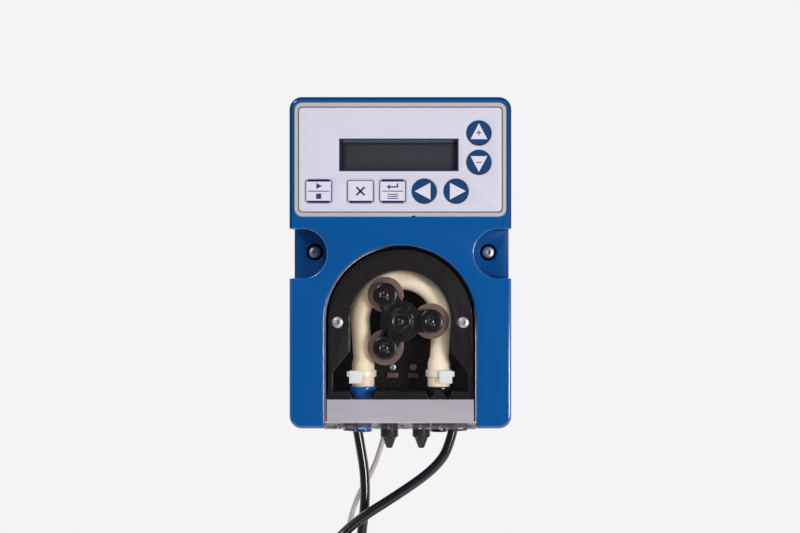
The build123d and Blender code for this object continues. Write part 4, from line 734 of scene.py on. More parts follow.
class Bench:
    """One mesh on the bench: it is shaped in edit mode and then finished."""

    SQUARE = 0.99
    PLAY = 0.001

    def __init__(self, name: str, way: Vector) -> None:
        """Take the active object into edit mode.

        Args:
            name: The piece's name.
            way: The way that its top looks.
        """
        self.piece = bpy.context.view_layer.objects.active
        self.piece.name = self.piece.data.name = name
        self.way = way
        bpy.ops.object.transform_apply(location=True, rotation=True, scale=True)
        self._back()

    @classmethod
    def round(
        cls,
        name: str,
        seat: Point,
        radius: float,
        height: float,
        facing: Facing = Facing.FRONT,
        sides: int = 40,
    ) -> "Bench":
        """Start from a cylinder that stands on its seat.

        Args:
            name: The piece's name.
            seat: The middle of its foot.
            radius: Its radius.
            height: How far it rises from the seat.
            facing: The way it rises.
            sides: How many sides it has.

        Returns:
            The bench, in edit mode.
        """
        leave_edit()
        bpy.ops.mesh.primitive_cylinder_add(
            vertices=sides,
            radius=radius * MM,
            depth=height * MM,
            location=metres(seat) + facing.way() * (height / 2 * MM),
            rotation=facing.value,
        )
        return cls(name, facing.way())

    @classmethod
    def plate(cls, name: str, low: Point, high: Point) -> "Bench":
        """Start from a box.

        Args:
            name: The piece's name.
            low: Its lowest corner.
            high: Its highest corner.

        Returns:
            The bench, in edit mode.
        """
        leave_edit()
        first, last = metres(low), metres(high)
        bpy.ops.mesh.primitive_cube_add(size=1.0, location=(first + last) / 2)
        bpy.context.view_layer.objects.active.scale = last - first
        return cls(name, Facing.FRONT.way())

    @classmethod
    def sheet(cls, name: str, centre: Point, width: float, height: float) -> "Bench":
        """Start from a flat rectangle that looks forward.

        Args:
            name: The piece's name.
            centre: Its middle.
            width: Its size along X.
            height: Its size along Z.

        Returns:
            The bench, in edit mode.
        """
        leave_edit()
        bpy.ops.mesh.primitive_plane_add(
            size=1.0, location=metres(centre), rotation=Facing.FRONT.value
        )
        bpy.context.view_layer.objects.active.scale = (width * MM, height * MM, 1.0)
        return cls(name, Facing.FRONT.way())

    @classmethod
    def outline(cls, name: str, corners: Sequence[Spot], y: float) -> "Bench":
        """Start from a flat polygon that looks forward, its corners put in place one by one.

        Args:
            name: The piece's name.
            corners: X and Z of each corner, in order.
            y: The plane that it lies in.

        Returns:
            The bench, in edit mode.
        """
        leave_edit()
        bpy.ops.mesh.primitive_circle_add(
            vertices=len(corners), radius=MM, fill_type="NGON", rotation=Facing.FRONT.value
        )
        bench = cls(name, Facing.FRONT.way())
        for vertex, (x, z) in zip(bench.edit().verts, corners):
            vertex.co = metres((x, y, z))
        bpy.ops.mesh.select_all(action="SELECT")
        bpy.ops.mesh.normals_make_consistent(inside=False)
        mesh = bench.edit()
        mesh.normal_update()
        if any(face.normal.y > 0 for face in mesh.faces):
            bpy.ops.mesh.flip_normals()
        return bench

    @classmethod
    def copy_of(cls, node: str, name: str) -> "Bench":
        """Start from a copy of a node's mesh, merged and with its flat faces whole.

        Args:
            node: The node to copy.
            name: The piece's name.

        Returns:
            The bench, in edit mode.
        """
        leave_edit()
        piece = put_in_scene(name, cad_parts[node].data.copy())
        activate(piece)
        if piece.data.has_custom_normals:
            bpy.ops.mesh.customdata_custom_splitnormals_clear()
        bench = cls(name, Facing.FRONT.way())
        bpy.ops.mesh.select_all(action="SELECT")
        bpy.ops.mesh.remove_doubles(threshold=NODE_WELD)
        bpy.ops.mesh.dissolve_limited(angle_limit=FLAT)
        return bench

    def edit(self) -> bmesh.types.BMesh:
        """Return the mesh that is being edited."""
        return bmesh.from_edit_mesh(self.piece.data)

    def pick(self, test: Test) -> "Bench":
        """Select the faces that pass a test.

        Args:
            test: Given a face's middle, in millimetres, and its normal.

        Returns:
            The bench.
        """
        bpy.ops.mesh.select_all(action="DESELECT")
        mesh = self.edit()
        mesh.normal_update()
        for face in mesh.faces:
            face.select_set(test(face.calc_center_median() / MM, face.normal))
        mesh.select_flush_mode()
        bmesh.update_edit_mesh(self.piece.data)
        return self

    def end(self, way: Vector) -> "Bench":
        """Select the outermost face that looks one way.

        Args:
            way: That way.

        Returns:
            The bench.
        """
        mesh = self.edit()
        mesh.normal_update()
        facing = [face for face in mesh.faces if face.normal.dot(way) > self.SQUARE]
        limit = max(face.calc_center_median().dot(way) for face in facing) / MM - self.PLAY
        return self.pick(lambda c, n: n.dot(way) > self.SQUARE and c.dot(way) > limit)

    def top(self) -> "Bench":
        """Select the face at the piece's top."""
        return self.end(self.way)

    def foot(self) -> "Bench":
        """Select the face at the piece's foot."""
        return self.end(-self.way)

    def step(self, *steps: Spot, each: bool = False) -> "Bench":
        """Inset the selected faces, once for each step.

        Args:
            steps: How far in and how far out, for each step.
            each: Whether every face is inset by itself.

        Returns:
            The bench.
        """
        for inward, outward in steps:
            bpy.ops.mesh.inset(
                thickness=inward * MM,
                depth=outward * MM,
                use_individual=each,
                use_even_offset=True,
                use_boundary=True,
            )
        return self

    def delete(self) -> "Bench":
        """Delete the selected faces."""
        bpy.ops.mesh.delete(type="FACE")
        return self

    def raise_sheet(self, height: float) -> "Bench":
        """Raise a flat sheet out of its plane.

        Args:
            height: How thick it gets.

        Returns:
            The bench.
        """
        bpy.ops.mesh.select_all(action="SELECT")
        shift = self.way * (height * MM)
        bpy.ops.mesh.extrude_region_move(TRANSFORM_OT_translate={"value": shift})
        return self.closed()

    def closed(self) -> "Bench":
        """Merge doubles and turn all faces outwards."""
        bpy.ops.mesh.select_all(action="SELECT")
        bpy.ops.mesh.remove_doubles(threshold=WELD)
        bpy.ops.mesh.normals_make_consistent(inside=False)
        return self

    def cut(self, axis: int, at: float, drop_below: bool = False) -> "Bench":
        """Cut all faces by a plane, so that the parts can have finishes of their own.

        Args:
            axis: The axis that the plane is square to.
            at: Where it crosses that axis.
            drop_below: Whether what lies below it goes, and the cut is closed.

        Returns:
            The bench.
        """
        spot, way = Vector(), Vector()
        spot[axis], way[axis] = at * MM, 1.0
        bpy.ops.mesh.select_all(action="SELECT")
        bpy.ops.mesh.bisect(
            plane_co=spot, plane_no=way, clear_inner=drop_below, use_fill=drop_below
        )
        return self

    def carve(self, *tools: bpy.types.Object) -> "Bench":
        """Take the shape of each tool away from the piece.

        Args:
            tools: The tools, which are thrown away afterwards.

        Returns:
            The bench.
        """
        leave_edit()
        for tool in tools:
            cut = self.piece.modifiers.new("carve", "BOOLEAN")
            cut.object, cut.operation, cut.solver = tool, "DIFFERENCE", "EXACT"
            self._apply(cut)
            bpy.data.objects.remove(tool)
        return self._back()

    def soften(self, width: float, segments: int = 2, angle: float = 40.0) -> "Bench":
        """Round the piece's sharp edges.

        Args:
            width: The width of the rounding.
            segments: How many faces it has across.
            angle: How sharp an edge must be, in degrees.

        Returns:
            The bench.
        """
        leave_edit()
        edge = self.piece.modifiers.new("soften", "BEVEL")
        edge.width, edge.segments = width * MM, segments
        edge.limit_method, edge.angle_limit = "ANGLE", math.radians(angle)
        edge.use_clamp_overlap = edge.harden_normals = False
        self._apply(edge)
        return self._back()

    def _apply(self, modifier: bpy.types.Modifier) -> None:
        """Apply one modifier."""
        activate(self.piece)
        bpy.ops.object.modifier_apply(modifier=modifier.name)

    def _back(self) -> "Bench":
        """Go to edit mode on the piece."""
        activate(self.piece)
        bpy.ops.object.mode_set(mode="EDIT")
        bpy.ops.mesh.select_mode(type="FACE")
        return self

    def tool(self) -> bpy.types.Object:
        """Leave the bench with a piece that only serves to cut another."""
        leave_edit()
        return self.piece

    def done(
        self,
        finish: Finish,
        body: str,
        *nodes: str,
        smooth: float = 35.0,
        zones: Sequence[tuple[Finish, Test]] = (),
    ) -> bpy.types.Object:
        """Finish the piece: its finish, its shading, the body it rides on and what it replaces.

        Args:
            finish: The main finish.
            body: The body that it moves with.
            nodes: The nodes that it stands for.
            smooth: Edges flatter than this are shaded smooth, in degrees.
            zones: Another finish for the faces that pass a test; the last match wins.

        Returns:
            The finished object.
        """
        activate(self.piece)
        mesh = self.piece.data
        mesh.materials.clear()
        for paint in (finish, *(zone for zone, _ in zones)):
            mesh.materials.append(paint.material())
        for face in mesh.polygons:
            face.material_index = 0
            for index, (_, test) in enumerate(zones, start=1):
                if test(face.center / MM, face.normal):
                    face.material_index = index
        bpy.ops.object.shade_smooth_by_angle(angle=math.radians(smooth))
        return enlist(self.piece, finish, body, *nodes)


def enlist(piece: bpy.types.Object, finish: Finish, body: str, *nodes: str) -> bpy.types.Object:
    """Tell the frame about a piece, and log it.

    Args:
        piece: The object, in place.
        finish: Its main finish.
        body: The body that it moves with.
        nodes: The nodes that it stands for.

    Returns:
        The piece.
    """
    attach(piece, body)
    if nodes:
        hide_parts(*nodes)
    LOG.info("%s on %s, %s", piece.name, body, finish.name)
    return piece


def copied(
    piece: bpy.types.Object, name: str, shift: Point, finish: Finish, body: str, *nodes: str
) -> bpy.types.Object:
    """Copy a finished piece, with a mesh of its own.

    Args:
        piece: The finished piece.
        name: The copy's name.
        shift: How far the copy is moved.
        finish: Its main finish.
        body: The body that it moves with.
        nodes: The nodes that it stands for.

    Returns:
        The copy.
    """
    twin = put_in_scene(name, piece.data.copy())
    twin.data.transform(Matrix.Translation(metres(shift)))
    return enlist(twin, finish, body, *nodes)


def softened(
    node: str, name: str, finish: Finish, *rounding: float, body: str = "housing", **look: object
) -> bpy.types.Object:
    """Stand a copy of a node with rounded edges in for it.

    Args:
        node: The node.
        name: The piece's name.
        finish: Its main finish.
        rounding: What Bench.soften takes.
        body: The body that it moves with.
        look: What Bench.done takes by name.

    Returns:
        The finished object.
    """
    return Bench.copy_of(node, name).soften(*rounding).done(finish, body, node, **look)


# ------------------------------------------------------------------ fasteners


class Drive(Enum):
    """The recess in a screw's head."""

    HEXAGON = "hexagon"
    CROSS = "cross"


@dataclass(frozen=True)
class Screw:
    """A screw with a domed head and a recess for its driver."""

    head: float
    height: float
    drive: Drive = Drive.HEXAGON
    shank: float = 0.0
    shank_length: float = 0.0
    rim_share: float = 0.62
    key_share: float = 0.22
    slot_share: Spot = (0.3, 0.075)
    point_share: float = 0.12

    def model(self, name: str, x: float, seat: float, z: float) -> Bench:
        """Model the screw where it sits.

        Args:
            name: The piece's name.
            x: Its place along X.
            seat: The plane that its head rests on.
            z: Its place along Z.

        Returns:
            The bench with the screw.
        """
        radius, rim = self.head / 2, self.height * self.rim_share
        dome = self.height - rim
        bench = Bench.round(name, (x, seat, z), radius, rim, sides=36).top()
        for inward, outward in ((0.06, 0.32), (0.1, 0.26), (0.16, 0.22), (0.22, 0.2)):
            bench.step((radius * inward, dome * outward))
        if self.shank:
            point = self.shank * self.point_share
            bench.foot().step((radius - self.shank / 2, 0.0), (0.0, self.shank_length))
            bench.step((point, point))
        bench.closed()
        return bench.carve(*self._recess(x, seat - self.height, z))

    def _recess(self, x: float, face: float, z: float) -> list[bpy.types.Object]:
        """Make the tools that cut the driver's recess.

        Args:
            x: The head's place along X.
            face: The plane of the head's face.
            z: Its place along Z.

        Returns:
            The tools.
        """
        deep = self.height * self.rim_share
        if self.drive is Drive.HEXAGON:
            seat, key = (x, face + deep, z), self.head * self.key_share
            return [Bench.round("recess", seat, key, deep * 2, sides=6).tool()]
        long, thin = (self.head * share for share in self.slot_share)
        return [
            Bench.plate("recess", (x - i, face - deep, z - k), (x + i, face + deep, z + k)).tool()
            for i, k in ((long, thin), (thin, long))
        ]

    def row(
        self, places: Mapping[str, Spot], seat: float, finish: Finish, body: str, node: str
    ) -> None:
        """Model one screw and copy it to the other places.

        Args:
            places: X and Z of each screw, by the piece's name.
            seat: The plane that the heads rest on.
            finish: Their metal.
            body: The body that they move with.
            node: The node that they stand for.
        """
        (name, (x, z)), *others = places.items()
        first = self.model(name, x, seat, z).done(finish, body, node)
        for other, (right, up) in others:
            copied(first, other, (right - x, 0.0, up - z), finish, body, node)


# ------------------------------------------------------------------ housing


@dataclass(frozen=True)
class Housing:
    """Blue front and rear housings, the beige frame, the face film and the wall plate."""

    screw_x: float = 50.35
    screw_z: float = 6.2
    screw_head: float = 6.8
    screw_height: float = 2.6
    shank: float = 4.0
    counterbore: float = 9.5
    recess_floor: float = -77.9
    edge_front: float = -110.6
    rim_side: float = 59.5
    rim_top: float = 90.5
    rim_foot: float = 21.0
    film_margin: float = 1.2

    def build(self) -> None:
        """Build every piece of the housing."""
        self.front_shell()
        softened("rear_housing", "rear_shell", BLUE, 0.9, 3)
        softened("wall_plate", "wall_bracket", BLUE, 0.35, 2)
        self.face()
        self.screws()

    def front_shell(self) -> None:
        """Build the front housing, with painted shadow in its screw holes, painted shade on its
        outer edges above the side recesses, and glossy front edges whose lighter tint is a painted
        highlight.
        """

        # The screw holes' walls get a near-black blue as painted shadow.
        def counterbore(centre: Vector, normal: Vector) -> bool:
            """Tell whether a face is in the hole round a screw's head."""
            reach = math.hypot(abs(centre.x) - self.screw_x, centre.z - self.screw_z)
            return reach < self.counterbore / 2 + 0.1 and centre.y > self.recess_floor

        # These edges get the glossy finish, tinted lighter as a painted highlight.
        def front_edge(centre: Vector, normal: Vector) -> bool:
            """Tell whether a face is on a rounded edge of the front."""
            return centre.y < self.edge_front and 0.1 < abs(normal.y) < 0.985

        # These edges get a darker blue as painted shade.
        def upper_rim(centre: Vector, normal: Vector) -> bool:
            """Tell whether a face is on the outer edge above the side recesses."""
            outer = centre.z > self.rim_top or abs(centre.x) > self.rim_side
            return front_edge(centre, normal) and outer and centre.z > self.rim_foot

        zones = [(RECESS_SHADOW, counterbore), (BLUE_EDGE, front_edge), (SHADED_RIM_BLUE, upper_rim)]
        softened("front_housing", "front_shell", BLUE, 0.55, 3, 50, zones=zones)

    def face(self) -> None:
        """Build the frame and the film, with a painted shadow line between them."""
        low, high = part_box("keypad_panel")
        middle, half = (low + high) / (2 * MM), (high - low) / (2 * MM)

        def inner_wall(centre: Vector, normal: Vector) -> bool:
            """Tell whether a face of the frame looks inwards at the film."""
            inward = normal.x * (centre.x - middle.x) + normal.z * (centre.z - middle.z)
            return abs(normal.y) < 0.9 and inward < 0.0

        def film_side(centre: Vector, normal: Vector) -> bool:
            """Tell whether a face is on the outer side of the film."""
            past = max(abs(centre.x - middle.x) - half.x, abs(centre.z - middle.z) - half.z)
            return abs(normal.y) < 0.9 and past > -self.film_margin

        # The frame's inner walls and the film's outer sides are painted dark as a shadow line.
        groove, edge = [(FRAME_GROOVE_SHADOW, inner_wall)], [(FILM_EDGE_SHADOW, film_side)]
        softened("keypad_bezel", "keypad_frame", BEIGE, 0.35, 3, zones=groove)
        softened("keypad_panel", "face_film", PANEL, 0.22, 2, zones=edge)

    def screws(self) -> None:
        """Build the two screws deep in the side recesses."""
        low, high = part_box("housing_screws")
        reach = (high.y - low.y) / MM - self.screw_height
        screw = Screw(self.screw_head, self.screw_height, Drive.HEXAGON, self.shank, reach)
        places = {
            "housing_screw_right": (self.screw_x, self.screw_z),
            "housing_screw_left": (-self.screw_x, self.screw_z),
        }
        seat = low.y / MM + self.screw_height
        screw.row(places, seat, STEEL, "housing", "housing_screws")


# ------------------------------------------------------------------ keypad


def oblong(half_width: float, half_height: float, z: float = 0.0) -> list[Spot]:
    """Return the corners of a rectangle whose middle lies that far up."""
    low, high = z - half_height, z + half_height
    return [(-half_width, low), (half_width, low), (half_width, high), (-half_width, high)]


KEYS: dict[str, Spot] = {
    "up": (43.99, 72.6), "down": (43.99, 56.2), "left": (13.4, 40.05), "right": (31.2, 40.05),
    "start_stop": (-45.7, 40.05), "escape": (-22.3, 40.05), "enter": (-4.3, 40.05),
}


@dataclass(frozen=True)
class Keypad:
    """Printed signs on the seven keys and round the display."""

    key_front: float = -113.1
    film_front: float = -112.8
    ink: float = 0.05
    line: float = 0.24
    key_width: float = 14.8
    key_height: float = 12.4
    window: Spot = (-0.8, 60.35)
    window_width: float = 66.9
    window_height: float = 18.3

    def build(self) -> None:
        """Print every key's signs and the border round the display's opening."""
        self.arrow_keys()
        self.bar_keys()
        for key, name, corners in self.signs():
            self._print(key, name, corners)
        x, z = self.window
        size = (self.window_width, self.window_height)
        where = (x, self.film_front, z)
        self._frame("display_border", where, size, 0.8, 0.4, BORDER_NAVY, "housing")

    def _print(
        self,
        key: str,
        name: str,
        corners: Sequence[Spot],
        finish: Finish = PRINT_NAVY,
        lift: float = 0.0,
    ) -> None:
        """Print one sign on a key.

        Args:
            key: The key.
            name: The piece's name.
            corners: The sign's corners from the key's middle.
            finish: Its ink.
            lift: How far it stands off the key's face.
        """
        x, z = KEYS[key]
        spots = [(x + right, z + up) for right, up in corners]
        sign = Bench.outline(name, spots, self.key_front - lift).raise_sheet(self.ink)
        sign.done(finish, f"key_{key}_cap")

    def _frame(
        self,
        name: str,
        centre: Point,
        size: Spot,
        line: float,
        rounding: float,
        finish: Finish,
        body: str,
    ) -> None:
        """Print an outline.

        Args:
            name: The piece's name.
            centre: Its middle, on the face that it is printed on.
            size: Its outer width and height.
            line: The width of its line.
            rounding: How far its corners are rounded.
            finish: Its ink.
            body: The body that it rides on.
        """
        bench = Bench.sheet(name, centre, *size)
        bpy.ops.mesh.select_all(action="SELECT")
        bpy.ops.mesh.bevel(offset=rounding * MM, segments=4, affect="VERTICES")
        bench.pick(lambda c, n: True).step((line, 0.0)).delete()
        bench.raise_sheet(self.ink).done(finish, body)

    def arrow_keys(self) -> None:
        """Print the four round keys' white triangles, two of them with a sign."""
        up = [(-4.7, -3.45), (4.7, -3.45), (0.0, 5.4)]
        turned = {
            "up": up,
            "down": [(-x, -z) for x, z in up],
            "left": [(-z, x) for x, z in up],
            "right": [(z, -x) for x, z in up],
        }
        for key, corners in turned.items():
            self._print(key, f"{key}_triangle", corners, PRINT_WHITE)
        half_length, half_line, rise = 1.45, 0.27, 0.1
        level = oblong(half_length, half_line, rise)
        upright = oblong(half_line, half_length, rise)
        self._print("up", "plus_level", level, lift=self.ink)
        self._print("up", "plus_upright", upright, lift=self.ink)
        self._print("down", "minus_level", oblong(half_length, half_line), lift=self.ink)

    def bar_keys(self) -> None:
        """Print the three white keys' outlines, slanted bars and middle lines."""
        near, far, half_near, half_far = 5.35, 6.6, 6.5, 5.9
        top = [(-half_near, near), (half_near, near), (half_far, far), (-half_far, far)]
        foot = [(x, -z) for x, z in top]
        for key in ("start_stop", "escape", "enter"):
            x, z = KEYS[key]
            where, size = (x, self.key_front, z), (self.key_width, self.key_height)
            body = f"key_{key}_cap"
            self._frame(f"{key}_outline", where, size, self.line * 2, 0.9, PRINT_NAVY, body)
            self._print(key, f"{key}_foot_bar", foot)
            if key != "escape":
                self._print(key, f"{key}_top_bar", top)
                self._print(key, f"{key}_middle_line", oblong(half_far - 0.1, self.line))

    def signs(self) -> list[tuple[str, str, list[Spot]]]:
        """Return key, name and corners of each sign on the white keys."""
        play = [(-1.3, 1.2), (1.9, 2.85), (-1.3, 4.5)]
        long, thin = 2.3, 0.38
        stroke = [
            (-long - thin, -long + thin), (-long + thin, -long - thin),
            (long + thin, long - thin), (long - thin, long + thin),
        ]
        arrow = [
            (-3.4, 2.4), (-1.5, 1.0), (-1.5, 2.0), (3.1, 2.0), (3.1, 4.3),
            (2.3, 4.3), (2.3, 2.8), (-1.5, 2.8), (-1.5, 3.8),
        ]
        found = [
            ("start_stop", "start_sign", play),
            ("start_stop", "stop_sign", oblong(1.45, 1.45, -2.85)),
            ("escape", "escape_stroke", stroke),
            ("escape", "escape_cross_stroke", [(-x, z) for x, z in stroke]),
            ("enter", "enter_arrow", arrow),
        ]
        for index, z in enumerate((-1.75, -2.9, -4.05), start=1):
            found.append(("enter", f"menu_line_{index}", oblong(2.9, self.line, z)))
        return found


# ------------------------------------------------------------------ pump chamber


@dataclass(frozen=True)
class Chamber:
    """Black moulding with its screws, the contact pads and the clear cover."""

    screw_x: float = 35.4
    screw_z: float = -33.5
    screw_seat: float = -106.9
    small_screws: Spot = (-5.1, 6.9)
    small_z: float = -60.3
    floor: float = -81.5
    band_low: float = -88.7
    band_high: float = -76.6
    band_side: float = 41.1
    band_front: float = -111.5
    arch: float = 42.6
    arch_z: float = -33.0
    rim: float = 0.7

    def build(self) -> None:
        """Build every piece of the chamber."""
        softened("pump_body", "raceway_block", BLACK, 0.45, 3, 30)
        self.screws()
        softened("chamber_pads", "leak_pads", PAD, 0.25, 2)
        self.cover()

    def screws(self) -> None:
        """Build the two bright screws beside the rollers and the two small ones below."""
        large = {
            "body_screw_right": (self.screw_x, self.screw_z),
            "body_screw_left": (-self.screw_x, self.screw_z),
        }
        Screw(6.5, 2.4).row(large, self.screw_seat, STEEL, "housing", "pump_body_screws")
        left, right = self.small_screws
        small = {
            "chamber_screw_left": (left, self.small_z),
            "chamber_screw_right": (right, self.small_z),
        }
        screw = Screw(4.3, 1.8, Drive.CROSS)
        screw.row(small, self.floor, STEEL, "housing", "chamber_screws")

    def cover(self) -> None:
        """Build the clear cover with a painted highlight and shadow on its rim, a frosted band and
        a thick foot with painted streaks.
        """
        bench = Bench.copy_of("clear_cover", "front_cover")
        bench.cut(2, self.band_low).cut(2, self.band_high)
        bench.cut(0, -self.band_side).cut(0, self.band_side)

        def edge(centre: Vector, normal: Vector) -> bool:
            """Tell whether a face is on the cover's outer rim."""
            reach = math.hypot(centre.x, max(0.0, centre.z - self.arch_z))
            return abs(normal.y) < 0.98 and reach > self.arch - self.rim

        def band(centre: Vector, normal: Vector) -> bool:
            """Tell whether a face is in the frosted band."""
            inside = self.band_low < centre.z < self.band_high and abs(centre.x) < self.band_side
            return inside and abs(normal.y) > 0.99 and centre.y < self.band_front

        def foot(centre: Vector, normal: Vector) -> bool:
            """Tell whether a face is in the thick foot."""
            return centre.z < self.band_low

        zones = [(PANE_EDGE, edge), (FROSTED, band), (PANE_FOOT, foot)]
        bench.soften(0.5, 3, 50).done(PANE, "cover", "clear_cover", zones=zones)


# ------------------------------------------------------------------ rotor


@dataclass(frozen=True)
class Rotor:
    """Rotor with round arm ends, its screws and the three rollers."""

    axis_z: float = -33.0
    pitch: float = 17.2
    front: float = -108.6
    cap: float = 6.5
    hub: float = 5.6
    rib: tuple[Spot, ...] = ((5.4, -0.55), (9.6, -0.3), (9.6, 0.3), (5.4, 0.55))
    rib_height: float = 0.45
    core_radius: float = 7.6

    def places(self) -> list[Spot]:
        """Return X and Z of the three arm ends."""
        turns = [math.radians(120 * k) for k in range(3)]
        return [(self.pitch * math.cos(a), self.axis_z + self.pitch * math.sin(a)) for a in turns]

    def build(self) -> None:
        """Build every piece of the rotor."""
        softened("rotor_front", "rotor_arms", ROTOR, 0.5, 3, body="rotor")
        softened("rotor_back", "rotor_rear_arms", ROTOR, 0.3, 2, body="rotor")
        self.caps()
        self.hub_ribs()
        pins = {f"pin_screw_{index}": place for index, place in enumerate(self.places(), start=1)}
        places = {"shaft_screw": (0.0, self.axis_z), **pins}
        Screw(3.6, 1.0).row(places, self.front, DARK_STEEL, "rotor", "rotor_screws")
        self.rollers()

    def caps(self) -> None:
        """Build the shallow domes on the arm ends."""
        (x, z), *others = self.places()
        bench = Bench.round("arm_cap_1", (x, self.front, z), self.cap, 0.16, sides=56)
        bench.top().step((0.2, 0.14), (0.5, 0.16), (0.9, 0.12), (1.3, 0.06), (0.8, -0.02))
        piece = bench.step((0.25, -0.28), (0.3, 0.0)).closed().done(ROTOR, "rotor", smooth=50)
        for index, (right, up) in enumerate(others, start=2):
            copied(piece, f"arm_cap_{index}", (right - x, 0.0, up - z), ROTOR, "rotor")

    def hub_ribs(self) -> None:
        """Build the low rim round the middle screw and a rib between each two arms."""
        centre = (0.0, self.front, self.axis_z)
        bench = Bench.round("hub_rim", centre, self.hub, 0.2, sides=48).top()
        bench.step((0.25, 0.2), (0.9, 0.05), (0.3, -0.25), (1.0, 0.0))
        bench.closed().done(ROTOR, "rotor", smooth=50)
        for index in range(3):
            turn = math.radians(120 * index + 60)
            x, z = math.cos(turn), math.sin(turn)
            spots = [(x * r - z * half, self.axis_z + z * r + x * half) for r, half in self.rib]
            rib = Bench.outline(f"web_rib_{index + 1}", spots, self.front)
            rib.raise_sheet(self.rib_height).soften(0.12, 2).done(ROTOR, "rotor")

    def rollers(self) -> None:
        """Build the rollers, with a dark core between brown flanges."""
        for index, (x, z) in enumerate(self.places(), start=1):

            def core(centre: Vector, normal: Vector) -> bool:
                """Tell whether a face is on the roller between its flanges."""
                reach = math.hypot(centre.x - x, centre.z - z)
                return abs(normal.y) < 0.5 and reach < self.core_radius

            node, body = f"roller_{index}", f"roller_{'abc'[index - 1]}"
            zones = [(ROLLER_CORE, core)]
            softened(node, f"roller_spool_{index}", ROLLER, 0.25, 3, body=body, zones=zones)


# ------------------------------------------------------------------ hose


Station = tuple[Vector, Vector, float, float]


def around(degrees: float) -> Vector:
    """Return the unit vector at an angle round the pump's axis."""
    turn = math.radians(degrees)
    return Vector((math.cos(turn), 0.0, math.sin(turn)))


@dataclass(frozen=True)
class Hose:
    """Soft hose that two of the rollers press against the curved wall."""

    axis_z: float = -33.0
    y: float = -94.8
    outer: float = 28.6
    diameter: float = 10.8
    foot_x: float = 21.6
    foot_z: float = -70.4
    swell_top: float = -57.0
    swollen: float = 12.7
    contact: float = 3.94
    bore: float = 8.2
    grip: float = 13.4
    pitch: float = 17.2
    roller: float = 7.5
    pressed_at: Spot = (0.0, 120.0)
    squareness: float = 1.6
    ring: int = 40
    steps: int = 64

    def thickness(self, degrees: float) -> float:
        """Return how thick the hose is between wall and roller.

        Args:
            degrees: The angle round the pump's axis.

        Returns:
            The thickness along the radius.
        """
        free = self.diameter
        for turn in self.pressed_at:
            off = math.radians(abs(degrees - turn))
            under = self.roller**2 - (self.pitch * math.sin(off)) ** 2
            if under > 0 and off < 1.0:
                free = min(free, self.outer - self.pitch * math.cos(off) - math.sqrt(under))
        return free

    def leg(self) -> list[Station]:
        """Return the stations of the right leg, from its foot to the curved wall."""
        arc_foot = around(-self.contact) * (self.outer - self.diameter / 2)
        foot = Vector((self.foot_x, 0.0, self.foot_z - self.axis_z))
        top = Vector((self.foot_x, 0.0, self.swell_top - self.axis_z))
        grip = ((0.0, 0.5), (0.02, 0.12), (0.06, 0.0), (0.3, 0.0), (0.55, 0.0), (0.8, 0.0),
                (0.97, 0.0))
        side = Vector((1.0, 0.0, 0.0))
        found = [
            (foot.lerp(top, share), side, self.swollen - less, self.swollen - less)
            for share, less in grip
        ]
        way = (arc_foot - top).normalized()
        side = Vector((way.z, 0.0, -way.x))
        for share in (0.06, 0.1, 0.14, 0.2, 0.4, 0.6, 0.8):
            eased = min(1.0, share / 0.14)
            size = self.swollen + (self.diameter - self.swollen) * eased
            found.append((top.lerp(arc_foot, share), side, size, size))
        return found

    def stations(self) -> list[Station]:
        """Return middle, outward way, thickness and width of each ring, from right to left."""
        leg = self.leg()
        arc = []
        for step in range(self.steps + 1):
            degrees = -self.contact + (180 + 2 * self.contact) * step / self.steps
            out = around(degrees)
            own = self.thickness(degrees)
            near = [self.thickness(degrees + off) for off in (-3, -1.5, 0, 1.5, 3)]
            thick = min(own, (sum(near) + own * 3) / 8)
            wide = thick + math.pi / 2 * (self.diameter - thick)
            arc.append((out * (self.outer - thick / 2), out, thick, wide))
        mirror = Vector((-1.0, 1.0, 1.0))
        return leg + arc + [(m * mirror, s * mirror, t, w) for m, s, t, w in reversed(leg)]

    def build(self) -> bpy.types.Object:
        """Loft the hose through its stations, with open ends that have a wall."""
        mesh = bmesh.new()
        stations = self.stations()
        first, last = stations[0], stations[-1]
        rings = [self._bore_ring(mesh, first, up) for up in (self.grip, 0.0)]
        rings += [self._ring(mesh, *station) for station in stations]
        rings += [self._bore_ring(mesh, last, up) for up in (0.0, self.grip)]
        for low, high in zip(rings, rings[1:]):
            for k in range(self.ring):
                after = (k + 1) % self.ring
                mesh.faces.new((low[k], low[after], high[after], high[k]))
        mesh.faces.new(rings[0])
        mesh.faces.new(list(reversed(rings[-1])))
        bmesh.ops.recalc_face_normals(mesh, faces=mesh.faces)
        data = bpy.data.meshes.new("soft_hose")
        mesh.to_mesh(data)
        mesh.free()
        data.materials.append(HOSE.material())
        piece = put_in_scene("soft_hose", data)
        activate(piece)
        bpy.ops.object.shade_smooth_by_angle(angle=math.radians(50))
        return enlist(piece, HOSE, "housing", "pump_hose")

    def _ring(
        self, mesh: bmesh.types.BMesh, middle: Vector, out: Vector, thick: float, wide: float
    ) -> list[bmesh.types.BMVert]:
        """Add one ring of the skin.

        Args:
            mesh: The mesh being built.
            middle: The ring's middle, from the pump's axis.
            out: The way its thickness lies.
            thick: Its size that way.
            wide: Its size along Y.

        Returns:
            The ring's vertices.
        """
        power = 2.0 / (2.0 + self.squareness * max(0.0, 1.0 - thick / self.diameter))
        axis = Vector((0.0, self.y, self.axis_z))
        ring = []
        for k in range(self.ring):
            turn = 2 * math.pi * k / self.ring
            across, along = math.cos(turn), math.sin(turn)
            across = math.copysign(abs(across) ** power, across) * thick / 2
            along = math.copysign(abs(along) ** power, along) * wide / 2
            spot = middle + out * across + Vector((0.0, along, 0.0)) + axis
            ring.append(mesh.verts.new(metres(spot)))
        return ring

    def _bore_ring(
        self, mesh: bmesh.types.BMesh, station: Station, up: float
    ) -> list[bmesh.types.BMVert]:
        """Add one ring of the bore at a foot, that far above it."""
        middle, out, _, _ = station
        return self._ring(mesh, middle + Vector((0.0, 0.0, up)), out, self.bore, self.bore)


